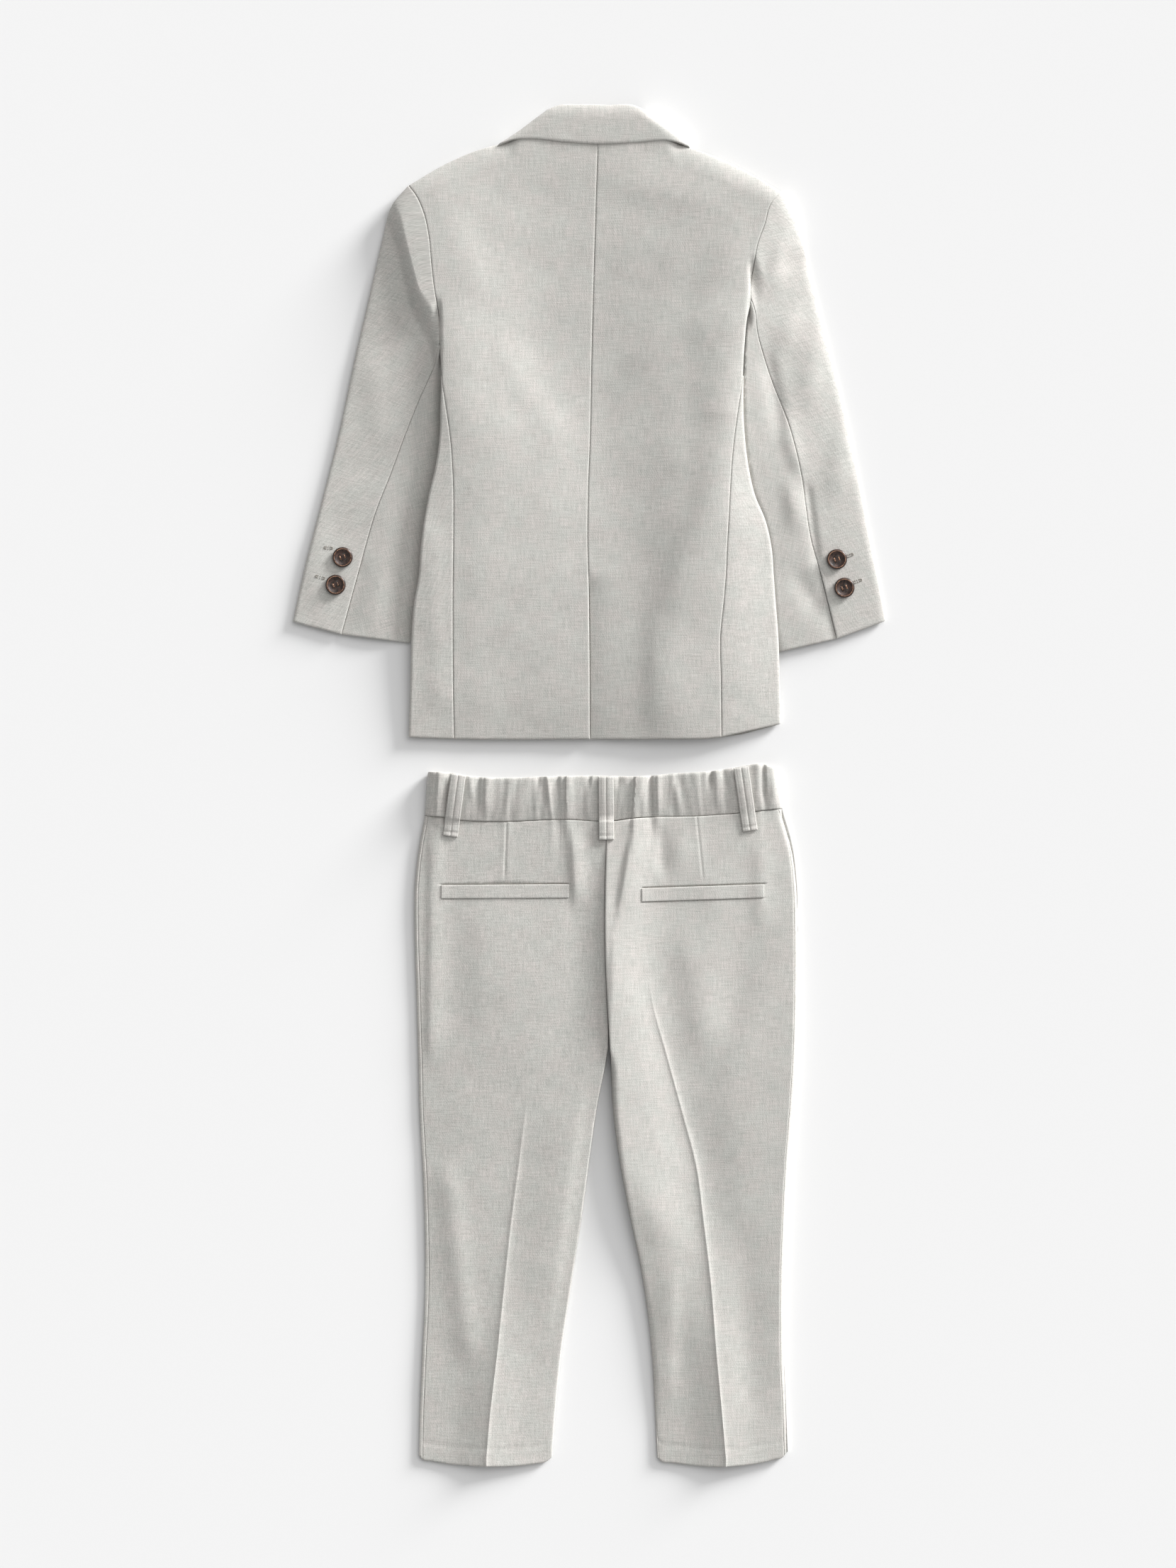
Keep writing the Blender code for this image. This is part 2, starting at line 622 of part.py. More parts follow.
def side_panel(side):
    """Wraps the body's edge, from the back's seam to the front's."""
    seam = side_seam(side)
    edge_hem = hem_at(BODY[side][-1])
    edge = body_line(side, SIDE_TOP[side], edge_hem, SEAM_ROWS)
    under_start = np.array(UNDERARM[side])
    under_end = np.array((UNDER_SEAM_HEM[side], hem_at(UNDER_SEAM_HEM[side])))
    under = straight(under_start, under_end, np.linspace(0, 1, SEAM_ROWS + 1))
    wide = np.linalg.norm(seam - edge, axis=1)
    even = np.linspace(0.0, 1.0, 6)
    dense = np.array((0.0, 0.35, 0.65, 0.85, 0.96, 1.0))
    spread = ease(wide, 4.0, 20.0)[None, :]
    share = even[:, None] * (1 - spread) + dense[:, None] * spread
    top = seam[None] * (1 - share[..., None]) + edge[None] * share[..., None]
    below_share = np.array((0.0, 0.06, 0.2, 0.5, 1.0))[:, None, None]
    below = edge[None] * (1 - below_share) + under[None] * below_share
    top = drawn_in(drawn_in(top, "left", WIDE_GAP), "top")
    below = drawn_in(drawn_in(below, "right", WIDE_GAP), "top", ARMHOLE_GAP)
    upper = raised(top, body_top(top[..., 0], top[..., 1]))
    lower = raised(below, body_under(below[..., 0], below[..., 1]))
    return np.concatenate([upper, lower[1:]])


def front_panel(side):
    """One front, beneath: shoulder, armhole, side seam and front edge."""
    under_hem = UNDER_SEAM_HEM[side]
    armhole = outline(FRONT_ARMHOLE[side] + (UNDERARM[side],), ARM_SHARES)
    seam = straight(UNDERARM[side], (under_hem, hem_at(under_hem)),
                    np.linspace(0, 1, SEAM_ROWS + 1))
    outer = np.concatenate([armhole, seam[1:]])
    inner = outline(FRONT_SHOULDER[side][-1:] + FRONT_INNER[side], shares_of(outer))
    shoulder = (tuple(outer[0]),) + FRONT_SHOULDER[side]
    top = outline(shoulder, np.linspace(0, 1, 7))
    hem_x = np.linspace(outer[-1][0], inner[-1][0], 7)
    hem = np.stack([hem_x, read(HEM, "y", hem_x, key="x")], axis=-1)
    grid = drawn_in(drawn_in(patch(outer, inner, top, hem), "left"), "top", ARMHOLE_GAP)
    return raised(grid, front_under(side, grid[..., 0], grid[..., 1]))


# ---- sleeves ---------------------------------------------------------------

SLEEVE_SHARES = np.array((0.0, 0.03, 0.08, 0.15, 0.23, 0.32, 0.41, 0.5, 0.59, 0.68,
                          0.77, 0.86, 0.93, 1.0))
FRONT_SEAM_SHARE = 0.75      # from the outer edge to the inner fold, beneath
HEAD_GAP = 1.4               # more between its halves near the armhole
EDGE_REACH = 8.0             # how far in a sleeve's edges round off


def sleeve_full(side, x, y, reach):
    """1 on the flat of a sleeve and 0 at its folded edges."""
    out = np.maximum(inner_side(side, x, sleeve_x(side, "outer", y)), 0.0)
    into = np.maximum(-inner_side(side, x, sleeve_x(side, "fold", y)), 0.0)
    return rise(out * 0.96, reach) * rise(into * 0.93, reach)


def sleeve_top(side, x, y):
    """Height of a sleeve's upper face, clear of the armhole."""
    width = inner_side(side, sleeve_x(side, "fold", y), sleeve_x(side, "outer", y))
    across = inner_side(side, x, sleeve_x(side, "outer", y)) / width
    swell = SLEEVE_SWELL * np.sin(math.pi * np.clip(across / 0.62, 0, 1)) ** 2
    high = SLEEVE_TOP + swell
    return SLEEVE_MID + (high - SLEEVE_MID) * sleeve_full(side, x, y, EDGE_REACH)


def sleeve_under(side, x, y):
    """Height of a sleeve's lower face, clear of the armhole."""
    return SLEEVE_MID * (1 - sleeve_full(side, x, y, UNDER_REACH))


def sleeve_lines(side):
    """Rows of the sleeve's four lines: outer, elbow, fold, front seam."""
    outer = sleeve_rows(side, "outer", SLEEVE_SHARES)
    elbow = sleeve_rows(side, "seam", SLEEVE_SHARES)
    fold = sleeve_rows(side, "fold", SLEEVE_SHARES)
    front = outer + (fold - outer) * FRONT_SEAM_SHARE
    start = outline(FRONT_ARMHOLE[side] + (tuple(fold[0]),), np.array([0.72]))[0]
    fade = (1 - SLEEVE_SHARES)[:, None] ** 4
    front = front + (start - front[0]) * fade
    return outer, elbow, fold, front


def joined(heights, seam_heights, along):
    """Heights that start at the armhole's and settle to the sleeve's own."""
    own = ease(along, 0.0, 0.2)
    return seam_heights * (1 - own) + heights * own


def top_sleeve(side):
    """The sleeve's outer half, from the elbow seam round to the front seam."""
    outer, elbow, fold, front = sleeve_lines(side)
    armhole = outline(BACK_ARMHOLE[side] + (tuple(elbow[0]),), ARM_SHARES)
    cuff = straight(outer[-1], elbow[-1], ARM_SHARES)
    upper = patch(outer, elbow, armhole, cuff)
    low_shares = np.array((0.0, 0.04, 0.13, 0.35, 0.68, 1.0))
    front_hole = outline(FRONT_ARMHOLE[side] + (tuple(fold[0]),), low_shares * 0.72)
    front_hole[-1] = front[0]
    lower = patch(outer, front, front_hole, straight(outer[-1], front[-1], low_shares))
    upper = drawn_in(drawn_in(upper, "right"), "top", ARMHOLE_GAP)
    lower = drawn_in(drawn_in(lower, "right"), "top", ARMHOLE_GAP)
    x, y = upper[..., 0], upper[..., 1]
    seam = np.broadcast_to(body_top(x[:, :1], y[:, :1]), x.shape)
    upper_z = joined(sleeve_top(side, x, y), seam, SLEEVE_SHARES[None])
    x, y = lower[..., 0], lower[..., 1]
    seam = np.broadcast_to(np.minimum(body_under(x[:, :1], y[:, :1]), 2.8), x.shape)
    seam = np.where(np.arange(len(x))[:, None] == 0, SHOULDER_MID, seam)
    lower_z = joined(sleeve_under(side, x, y), seam, SLEEVE_SHARES[None])
    upper_z[0] = lower_z[0]
    return np.concatenate([raised(upper, upper_z)[::-1], raised(lower, lower_z)[1:]])


def under_sleeve(side):
    """The sleeve's inner half, from the elbow seam round the inner fold."""
    outer, elbow, fold, front = sleeve_lines(side)
    top_shares = np.array((0.0, 0.35, 0.65, 0.86, 0.96, 1.0))
    s = SIGN[side]
    hidden = ((elbow[0][0] - s * 4.0, elbow[0][1] - 11.0),
              (elbow[0][0] - s * 13.0, (elbow[0][1] + fold[0][1]) / 2 - 6.0))
    under_arm = outline((tuple(elbow[0]),) + hidden + (tuple(fold[0]),), top_shares)
    upper = patch(elbow, fold, under_arm, straight(elbow[-1], fold[-1], top_shares))
    low_shares = np.array((0.0, 0.07, 0.25, 0.6, 1.0))
    hole = outline(FRONT_ARMHOLE[side] + (tuple(fold[0]),), 1 - low_shares * 0.28)
    hole[-1] = front[0]
    lower = patch(fold, front, hole, straight(fold[-1], front[-1], low_shares))
    gap = WIDE_GAP + HEAD_GAP * (1 - ease(SLEEVE_SHARES, 0.03, 0.2))[:, None]
    upper = drawn_in(drawn_in(upper, "left", gap), "top", ARMHOLE_GAP)
    lower = drawn_in(drawn_in(lower, "right", gap), "top", ARMHOLE_GAP)
    x, y = upper[..., 0], upper[..., 1]
    seam = SLEEVE_MID + (SLEEVE_TOP - SLEEVE_MID) * rise(1 - top_shares, 0.2)[:, None]
    upper_z = joined(sleeve_top(side, x, y), seam, SLEEVE_SHARES[None])
    x, y = lower[..., 0], lower[..., 1]
    seam = np.minimum(body_under(x[:, :1], y[:, :1]), 2.8)
    lower_z = joined(sleeve_under(side, x, y), seam, SLEEVE_SHARES[None])
    lower_z[0] = upper_z[-1]
    return np.concatenate([raised(upper, upper_z), raised(lower, lower_z)[1:]])


# ---- collar, lapels and small pieces of the jacket --------------------------

def collar():
    """The fall: over the back's neck and round the sides to its front ends."""
    across = np.linspace(0.0, 1.0, 6)
    left = outline(COLLAR_SIDES["left"], across)
    right = outline(COLLAR_SIDES["right"], across)
    ends = np.array((0.0, 0.015, 0.06, 0.13, 0.25, 0.38, 0.5))
    shares = np.concatenate([ends, 1 - ends[-2::-1]])
    top = patch(left, right, outline(COLLAR_ROLL, shares), outline(COLLAR_FREE, shares))
    x, y = top[..., 0], top[..., 1]
    span = np.linalg.norm(right - left, axis=1)[None]
    near_side = np.minimum(shares, 1 - shares)[:, None] * span
    from_roll = np.linalg.norm(top - top[:, :1], axis=-1)
    full = rise(near_side, 10.0) * (0.25 + 0.75 * rise(from_roll, 9.0))
    crown = FRONT_CLEAR + BODY_DEPTH + COLLAR_LIFT
    top_z = COLLAR_MID + (crown - COLLAR_MID) * full
    parts = [raised(top, top_z)]
    for side, edge in (("left", left), ("right", right)):
        gorge, point = COLLAR_ENDS[side]
        end = straight(gorge, point, across)
        along = np.array((0.0, 0.05, 0.16, 0.5, 1.0))[:, None, None]
        under = edge[None] * (1 - along) + end[None] * along
        away = np.linalg.norm(under - under[:1], axis=-1)
        under_z = COLLAR_MID * (1 - rise(away, COLLAR_UNDER))
        part = raised(under, under_z)[1:]
        if side == "left":
            parts.insert(0, part[::-1])
        else:
            parts.append(part)
    return np.concatenate(parts)


def collar_stand():
    """The strip beneath the fall, from the neck seam up to the roll."""
    foot = straight((-38.0, 451.6), (45.0, 451.6), np.linspace(0, 1, 11))
    head = straight((-27.0, 461.5), (35.0, 461.5), np.linspace(0, 1, 11))
    rows = np.linspace(0.0, 1.0, 4)[None, :, None]
    grid = head[:, None] * (1 - rows) + foot[:, None] * rows
    high = FRONT_CLEAR + BODY_DEPTH - 1.2 * (1 - rows[..., 0])
    return raised(grid, high)


def lapel(side):
    """A lapel, face down, between its roll line and outer edge."""
    roll, free = LAPELS[side]
    shares = np.linspace(0.0, 1.0, 10)
    inner = outline(roll, shares)
    outer = outline(free, shares)
    columns = np.linspace(0.0, 1.0, 5)
    grid = patch(outer, inner, straight(outer[0], inner[0], columns),
                 straight(outer[-1], inner[-1], columns))
    return raised(grid, 0.0)


def vent_underlap():
    """The strip of the right back that lies beneath the left at the vent."""
    levels = np.linspace(139.0, 35.0, 9)
    centre = read(CENTRE, "x", levels)
    offsets = np.array((-20.0, -11.0, -2.0, 6.0))[:, None]
    grid = in_plan(centre + offsets, levels)
    return raised(grid, body_top(grid[..., 0], grid[..., 1]) - JACKET_WALL - LAY_GAP)


def make_jacket():
    for side in SIDES:
        sheet("jacket_back_" + side, back_panel(side), JACKET_WALL)
        sheet("jacket_side_" + side, side_panel(side), JACKET_WALL)
        sheet("jacket_front_" + side, front_panel(side), JACKET_WALL, facing=-1)
        sheet("sleeve_top_" + side, top_sleeve(side), SLEEVE_WALL)
        sheet("sleeve_under_" + side, under_sleeve(side), SLEEVE_WALL)
        sheet("lapel_" + side, lapel(side), LAPEL_WALL, facing=-1)
        for count, (x, y) in enumerate(SLEEVE_BUTTONS[side], 1):
            seat = float(sleeve_top(side, x, y)) + 0.5
            button(f"sleeve_button_{side}_{count}", (x, y, seat), BUTTON, BUTTON_DEEP)
    sheet("collar", collar(), COLLAR_WALL, facing=-1)
    sheet("collar_stand", collar_stand(), STAND_WALL)
    sheet("vent_underlap", vent_underlap(), TRIM_WALL)
    for count, (x, y) in enumerate(FRONT_BUTTONS, 1):
        button(f"front_button_{count}", (x, y, 0.0), FRONT_BUTTON, FRONT_BUTTON_DEEP)


# ---- trousers ----------------------------------------------------------------

LEG_ROWS = np.concatenate([np.linspace(0.0, 0.376, 9)[:-1], np.linspace(0.376, 1.0, 13)])


def leg_y(share, x):
    """y on a leg at a share of the way from the waistband's seam to the hem."""
    top = read(BAND_SEAM, "y", x, key="x")
    hem = read(LEG_HEM, "y", x, key="x")
    return top + (hem - top) * share


def leg_level(share):
    """The table's level at that share."""
    return TROUSERS["y"][0] + (TROUSERS["y"][-1] - TROUSERS["y"][0]) * share


def leg_line(column, offset=0.0):
    """x down a leg, at an offset from a column of the table."""
    return read(TROUSERS, column, leg_level(LEG_ROWS)) + offset


def crease_heights(x, y):
    """The pressed creases: a sharp ridge down each leg's middle."""
    total = 0.0
    for side in SIDES:
        away = np.abs(x - read(TROUSERS, side + "_crease", y))
        start = -215.0 if side == "left" else -165.0
        strength = ease(y, start + 45.0, start - 60.0)
        total = total + CREASE_RISE * strength * np.exp(-away / CREASE_HALF)
    return total


def leg_full(side, x, y, reach):
    """1 on the flat of a leg and 0 at its folded edges."""
    out = np.maximum(inner_side(side, x, read(TROUSERS, side, y)), 0.0)
    into = np.maximum(-inner_side(side, x, read(TROUSERS, side + "_in", y)), 0.0)
    split = ease(y, CROTCH + 6.0, CROTCH - 14.0)
    return rise(out, reach) * (1 - split * (1 - rise(into, reach)))


def leg_top(side, x, y):
    """Height of a leg's upper face."""
    high = (read(TROUSERS, "top", y) + crease_heights(x, y)
            + fold_heights(TROUSER_FOLDS, x, y))
    return TROUSER_MID + (high - TROUSER_MID) * leg_full(side, x, y, 7.0)


def leg_under(side, x, y):
    """Height of a leg's lower face: round at the outer edge, then flat."""
    out = np.maximum(inner_side(side, x, read(TROUSERS, side, y)), 0.0)
    return TROUSER_MID * (1 - rise(out, 5.0))


def between(first, second, shares):
    """A leg's grid in plan, at shares of the way from one line to another."""
    shares = np.asarray(shares, float)[:, None]
    x = first * (1 - shares) + second * shares
    return in_plan(x, leg_y(LEG_ROWS, x))


def leg_back(side):
    """A back leg, from the outseam over the crease to the inner edge."""
    s = SIGN[side]
    seam = leg_line(side, -s * OUTSEAM)
    crease = leg_line(side + "_crease")
    inner = leg_line(side + "_in")
    outer_half = between(seam, crease, (0, 0.08, 0.3, 0.55, 0.8, 1))
    inner_half = between(crease, inner, (0, 0.4, 0.75, 0.93, 1))
    grid = np.concatenate([outer_half, inner_half[1:]])
    grid = drawn_in(drawn_in(grid, "right"), "left top", WIDE_GAP)
    return raised(grid, leg_top(side, grid[..., 0], grid[..., 1]))


def leg_front(side):
    """A front leg: over the outer edge, then beneath to the inner edge."""
    s = SIGN[side]
    seam = leg_line(side, -s * OUTSEAM)
    edge = leg_line(side)
    inner = leg_line(side + "_in")
    upper = between(seam, edge, (0, 0.5, 0.85, 1))
    lower = between(edge, inner, (0, 0.012, 0.045, 0.3, 0.65, 0.93, 1))
    upper = drawn_in(upper, "left top")
    lower = drawn_in(drawn_in(lower, "right"), "top", ARMHOLE_GAP)
    upper_z = leg_top(side, upper[..., 0], upper[..., 1])
    lower_z = leg_under(side, lower[..., 0], lower[..., 1])
    return np.concatenate([raised(upper, upper_z), raised(lower, lower_z)[1:]])


BAND_STEP = 7.5         # widest column of the gathered band


def gather_heights(share, across):
    """Gathers at a share of the way down the band; across is x there."""
    total = np.zeros(np.broadcast(share, across).shape)
    for top, seam, half, height in zip(*GATHERS.values()):
        line = top + (seam - top) * share
        total = total + height * np.exp(-((across - line) / (0.6 * half)) ** 2)
    return total * (1.0 - 0.45 * share ** 2)


def band_y(share, x):
    top = read(BAND_TOP, "y", x, key="x")
    return top + (read(BAND_SEAM, "y", x, key="x") - top) * share


def band_height(share, x):
    """Height of the back waistband's outer face."""
    left = BAND_TOP["x"][0] + (BAND_SEAM["x"][0] - BAND_TOP["x"][0]) * share
    right = BAND_TOP["x"][-1] + (BAND_SEAM["x"][-1] - BAND_TOP["x"][-1]) * share
    full = rise(np.maximum(x - left, 0), 6.0) * rise(np.maximum(right - x, 0), 6.0)
    high = WAISTBAND_TOP + gather_heights(share, x)
    return TROUSER_MID + (high - TROUSER_MID) * full


def band_columns():
    """x at the band's top and seam, with a column on each gather."""
    lines = []
    for name, line in (("top", BAND_TOP["x"]), ("seam", BAND_SEAM["x"])):
        ends = np.array((0.0, 0.9, 3.2))
        lines.append(np.concatenate([line[0] + ends, GATHERS[name], line[-1] - ends[::-1]]))
    lines = np.stack(lines)
    columns = [lines[:, :1]]
    for start, end in zip(lines.T, lines.T[1:]):
        parts = math.ceil((end[0] - start[0]) / BAND_STEP)
        columns.append(straight(start, end, np.linspace(0, 1, parts + 1)[1:]).T)
    return np.concatenate(columns, axis=1)


def band_grid(columns, rows):
    """A band in plan, from x at its top and seam; with each row's share."""
    share = np.linspace(0.0, 1.0, rows)[None]
    x = columns[0][:, None] * (1 - share) + columns[1][:, None] * share
    return drawn_in(in_plan(x, band_y(share, x)), "bottom"), share


def waistband_back():
    """The gathered band."""
    grid, share = band_grid(band_columns(), 4)
    return raised(grid, band_height(share, grid[..., 0]))


def waistband_front():
    """The plain band beneath."""
    spread = np.linspace(0.0, 1.0, 13)
    ends = [line["x"][0] + (line["x"][-1] - line["x"][0]) * spread
            for line in (BAND_TOP, BAND_SEAM)]
    grid = band_grid(ends, 3)[0]
    grid = drawn_in(drawn_in(grid, "left right", ARMHOLE_GAP), "top", ARMHOLE_GAP)
    return raised(grid, 0.0)


def seat_height(x, y):
    """Height of the upper face of band or seat, whichever lies there."""
    top = read(BAND_TOP, "y", x, key="x")
    seam = read(BAND_SEAM, "y", x, key="x")
    share = np.clip((top - y) / (top - seam), 0.0, 1.0)
    side = np.where(x < TROUSERS["left_in"][0], 0, 1)
    seat = np.where(side == 0, leg_top("left", x, y), leg_top("right", x, y))
    return np.where(y > seam, band_height(share, x), seat)


def belt_loop(top_x, top_y, foot_x, foot_y):
    """A loop on the back, over the band and down past its seam."""
    way = np.array((foot_x - top_x, foot_y - top_y))
    aside = np.array((way[1], -way[0])) / np.linalg.norm(way) * LOOP_WIDE / 2
    shares = np.linspace(0.0, 1.0, 8)
    centre = straight((top_x, top_y), (foot_x, foot_y), shares)
    across = np.array((1.0, 0.5, 0.0, -0.5, -1.0))
    grid = centre[None] + across[:, None, None] * aside
    x, y = grid[..., 0], grid[..., 1]
    around = [seat_height(x + dx, y + dy) for dx in (-2.5, 0, 2.5) for dy in (-4, 0, 4)]
    resting = np.max(around, axis=0).max(axis=0, keepdims=True)
    return raised(grid, resting + LAY_GAP + TRIM_WALL)


def welt(side):
    """A welt pocket's strip, lying on the seat."""
    start, end, deep = WELTS[side]
    top = straight(start, end, np.linspace(0, 1, 13))
    bottom = top - (0.0, deep)
    rows = np.linspace(0.0, 1.0, 3)[None, :, None]
    grid = top[:, None] * (1 - rows) + bottom[:, None] * rows
    x, y = grid[..., 0], grid[..., 1]
    return raised(grid, leg_top(side, x, y) + 2 * LAY_GAP + WELT_WALL)


def fly():
    """The fly's placket, beneath the fronts' centre seam."""
    levels = np.linspace(-24.0, -110.0, 7)
    centre = read(TROUSERS, "left_in", levels)
    offsets = np.array((-18.0, -9.0, 0.0))[:, None]
    return raised(in_plan(centre + offsets, levels), TROUSER_WALL + LAY_GAP)


def make_trousers():
    for side in SIDES:
        sheet("leg_back_" + side, leg_back(side), TROUSER_WALL)
        sheet("leg_front_" + side, leg_front(side), TROUSER_WALL)
        sheet("welt_" + side, welt(side), WELT_WALL)
    sheet("waistband_back", waistband_back(), BAND_WALL)
    sheet("waistband_front", waistband_front(), TROUSER_WALL, facing=-1)
    for count, row in enumerate(zip(*BELT_LOOPS.values()), 1):
        sheet(f"belt_loop_{count}", belt_loop(*row), TRIM_WALL)
    sheet("fly", fly(), TRIM_WALL, facing=-1)


# ---- bow tie -------------------------------------------------------------------

def bow_wing(side):
    """A wing: one cloth folded into a flat loop, open at its outer fold."""
    s = SIGN[side]
    rows = np.linspace(-1.0, 1.0, 7)
    out = BOW["out"][:, None]
    grid = in_plan(BOW_CENTRE[0] + s * out, BOW_CENTRE[1] + BOW["half"][:, None] * rows)
    deep = BOW["deep"][:, None] * (0.86 + 0.14 * np.cos(math.pi * rows))
    under = raised(grid, 0.0)
    upper = raised(grid, deep)
    turn = 0.5 * (under[-1:] + upper[-1:]) + (s * 1.2, 0.0, 0.0)
    return np.concatenate([under, turn, upper[::-1]])


def make_knot():
    """The knot, wrapped round the wings' roots."""
    mesh = bpy.data.meshes.new("bow_knot")
    bm = bmesh.new()
    bmesh.ops.create_cube(bm, size=1.0)
    bmesh.ops.subdivide_edges(bm, edges=bm.edges[:], cuts=1, use_grid_fill=True)
    for vert in bm.verts:
        x, y, z = vert.co * 2.0
        pinch = 1.0 - 0.12 * abs(x * z)
        vert.co = Vector((BOW_CENTRE[0] + KNOT[0] * x * pinch,
                          BOW_CENTRE[1] + KNOT[1] * y * pinch, KNOT[2] * (1 + z))) * MM
    bm.to_mesh(mesh)
    bm.free()
    add_object("bow_knot", mesh, SATIN)


def bow_band():
    """The neck band: a flat strap lying in a loop above the wings."""
    around = np.linspace(0.12 * math.pi, 1.88 * math.pi, 25)
    radius = np.array((0.0, BOW_BAND_WIDE))[:, None]
    x = BOW_CENTRE[0] + (BOW_BAND_LOOP[0] - radius) * np.sin(around)
    y = BOW_BAND_MIDDLE - (BOW_BAND_LOOP[1] - radius) * np.cos(around)
    return raised(in_plan(x, y), max(BOW["deep"]) + SEAM_GAP + BOW_BAND_WALL)


def make_bow_tie():
    for side in SIDES:
        sheet("bow_wing_" + side, bow_wing(side), BOW_WALL, look=SATIN, facing=-1)
    make_knot()
    sheet("bow_band", bow_band(), BOW_BAND_WALL, look=SATIN)


# ---- the whole ------------------------------------------------------------------

for leftover in list(bpy.data.objects):
    bpy.data.objects.remove(leftover, do_unlink=True)

SUIT = bpy.data.collections.new("suit_with_bow_tie")
bpy.context.scene.collection.children.link(SUIT)
MATERIALS = {
    FABRIC: material("light_stone_suiting", (0.55, 0.53, 0.50), 0.85),
    SATIN: material("taupe_satin", (0.20, 0.16, 0.13), 0.45),
    HORN: material("brown_button", (0.05, 0.025, 0.018), 0.35)}

make_jacket()
make_trousers()
make_bow_tie()
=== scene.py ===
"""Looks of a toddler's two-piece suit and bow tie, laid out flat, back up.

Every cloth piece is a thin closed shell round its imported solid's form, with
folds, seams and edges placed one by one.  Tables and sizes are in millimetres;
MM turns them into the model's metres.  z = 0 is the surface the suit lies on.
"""

import math
import bmesh
import bpy
import numpy as np
from mathutils import Matrix, Vector


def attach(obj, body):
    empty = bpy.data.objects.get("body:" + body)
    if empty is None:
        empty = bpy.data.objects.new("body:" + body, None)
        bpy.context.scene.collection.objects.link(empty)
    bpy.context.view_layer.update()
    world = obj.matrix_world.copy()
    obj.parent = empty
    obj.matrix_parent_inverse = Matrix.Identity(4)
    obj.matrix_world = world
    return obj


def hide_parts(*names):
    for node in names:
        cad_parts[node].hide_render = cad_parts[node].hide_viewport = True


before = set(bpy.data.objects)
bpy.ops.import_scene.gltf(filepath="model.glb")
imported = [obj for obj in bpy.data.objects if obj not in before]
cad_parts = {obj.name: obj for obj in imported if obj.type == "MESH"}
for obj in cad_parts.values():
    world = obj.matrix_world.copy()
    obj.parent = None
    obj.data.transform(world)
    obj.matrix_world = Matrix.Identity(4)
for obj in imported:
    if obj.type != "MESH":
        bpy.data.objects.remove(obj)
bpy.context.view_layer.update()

MM = 0.001
BODY_NAME = "root"
SIDES = ("left", "right")
SIGN = {"left": -1.0, "right": 1.0}

# ---- sizes of the cloth, in millimetres -------------------------------------

STEP = 1.5              # between points of a panel that shows
HIDDEN_STEP = 4.0       # and of one beneath
# Distances from an edge at which a grid has its closer points.
PLAIN = (0.0,)
FINE = (0.0, 0.25, 0.55, 0.95, 1.5, 2.3)
ROUND = (0.0, 0.06, 0.25, 0.6, 1.1, 1.7)
BENT = (0.0, 0.08, 0.3, 0.7, 1.3)
CREASED = (0.0, 0.5, 1.1, 2.0)
TURNED = (0.0, 0.6, 1.6)
BENEATH = (0.0, 0.8, 2.0)
COLLAR_EDGE = (0.0, 0.1, 0.4, 0.9, 1.6)
BAND_EDGE = (0.0, 0.1, 0.4)
LOOP_EDGE = (0.0, 0.2, 0.5)
WELT_EDGE = (0.0, 0.2, 0.5, 0.9)

HALF_GAP = 0.06         # half of the gap between neighbouring panels
# How far an edge turns down, and over what distance.
SEAM = (0.55, 1.1)
SOFT = (0.7, 1.5)
FLAT_SEAM = (0.25, 0.7)

CLOTH = 1.2             # wall of a panel: cloth and lining
COLLAR_WALL = 1.3
BAND_WALL = 1.5
TRIM_WALL = 1.0
WELT_WALL = 0.5
SHARP = math.radians(50.0)          # edges that turn further are shaded sharp


def table(names, *rows):
    """Named columns of a short table."""
    return dict(zip(names.split(), np.array(rows, float).T))


# ---- lines of the jacket, as on its solids ------------------------------------

BODY = table(
    "y left left_seam right_seam right",
    (345, -102.9, -101.8, 109.7, 110.9),
    (325, -102.4, -101.3, 107.9, 109.1),
    (305, -102.0, -101.4, 107.0, 107.3),
    (283, -101.8, -101.5, 106.1, 106.4),
    (262, -102.2, -98.5, 103.0, 106.2),
    (240, -102.9, -95.4, 99.9, 107.3),
    (220, -105.8, -93.9, 98.0, 109.9),
    (200, -110.5, -93.2, 96.9, 114.6),
    (185, -113.2, -93.2, 96.1, 121.0),
    (165, -115.8, -93.3, 95.0, 125.7),
    (145, -117.3, -93.6, 94.1, 127.3),
    (125, -120.7, -93.7, 92.4, 128.8),
    (105, -122.2, -93.7, 90.4, 130.4),
    (75, -123.0, -93.6, 90.8, 131.4),
    (33, -124.4, -92.9, 91.3, 132.5))
CENTRE = table(
    "y x",
    (452, 6.0), (441, 5.9), (408, 4.9), (374, 3.9), (310, 2.1), (240, 0.7),
    (200, -0.7), (167, -1.0), (142, -0.3), (103, 0.2), (33, 0.5))
SHOULDER = table(
    "x y",
    (-134, 408), (-124.4, 414.3), (-98, 429.7), (-72, 441.2), (-62, 442.5),
    (-54, 444.5), (-44, 462), (0, 500), (50, 462), (60, 443.5), (69, 441),
    (80, 437), (97.6, 429.6), (127, 414.5), (133, 409.7), (142, 402))
SLEEVE_COLUMNS = "outer_x outer_y seam_x seam_y fold_x fold_y"
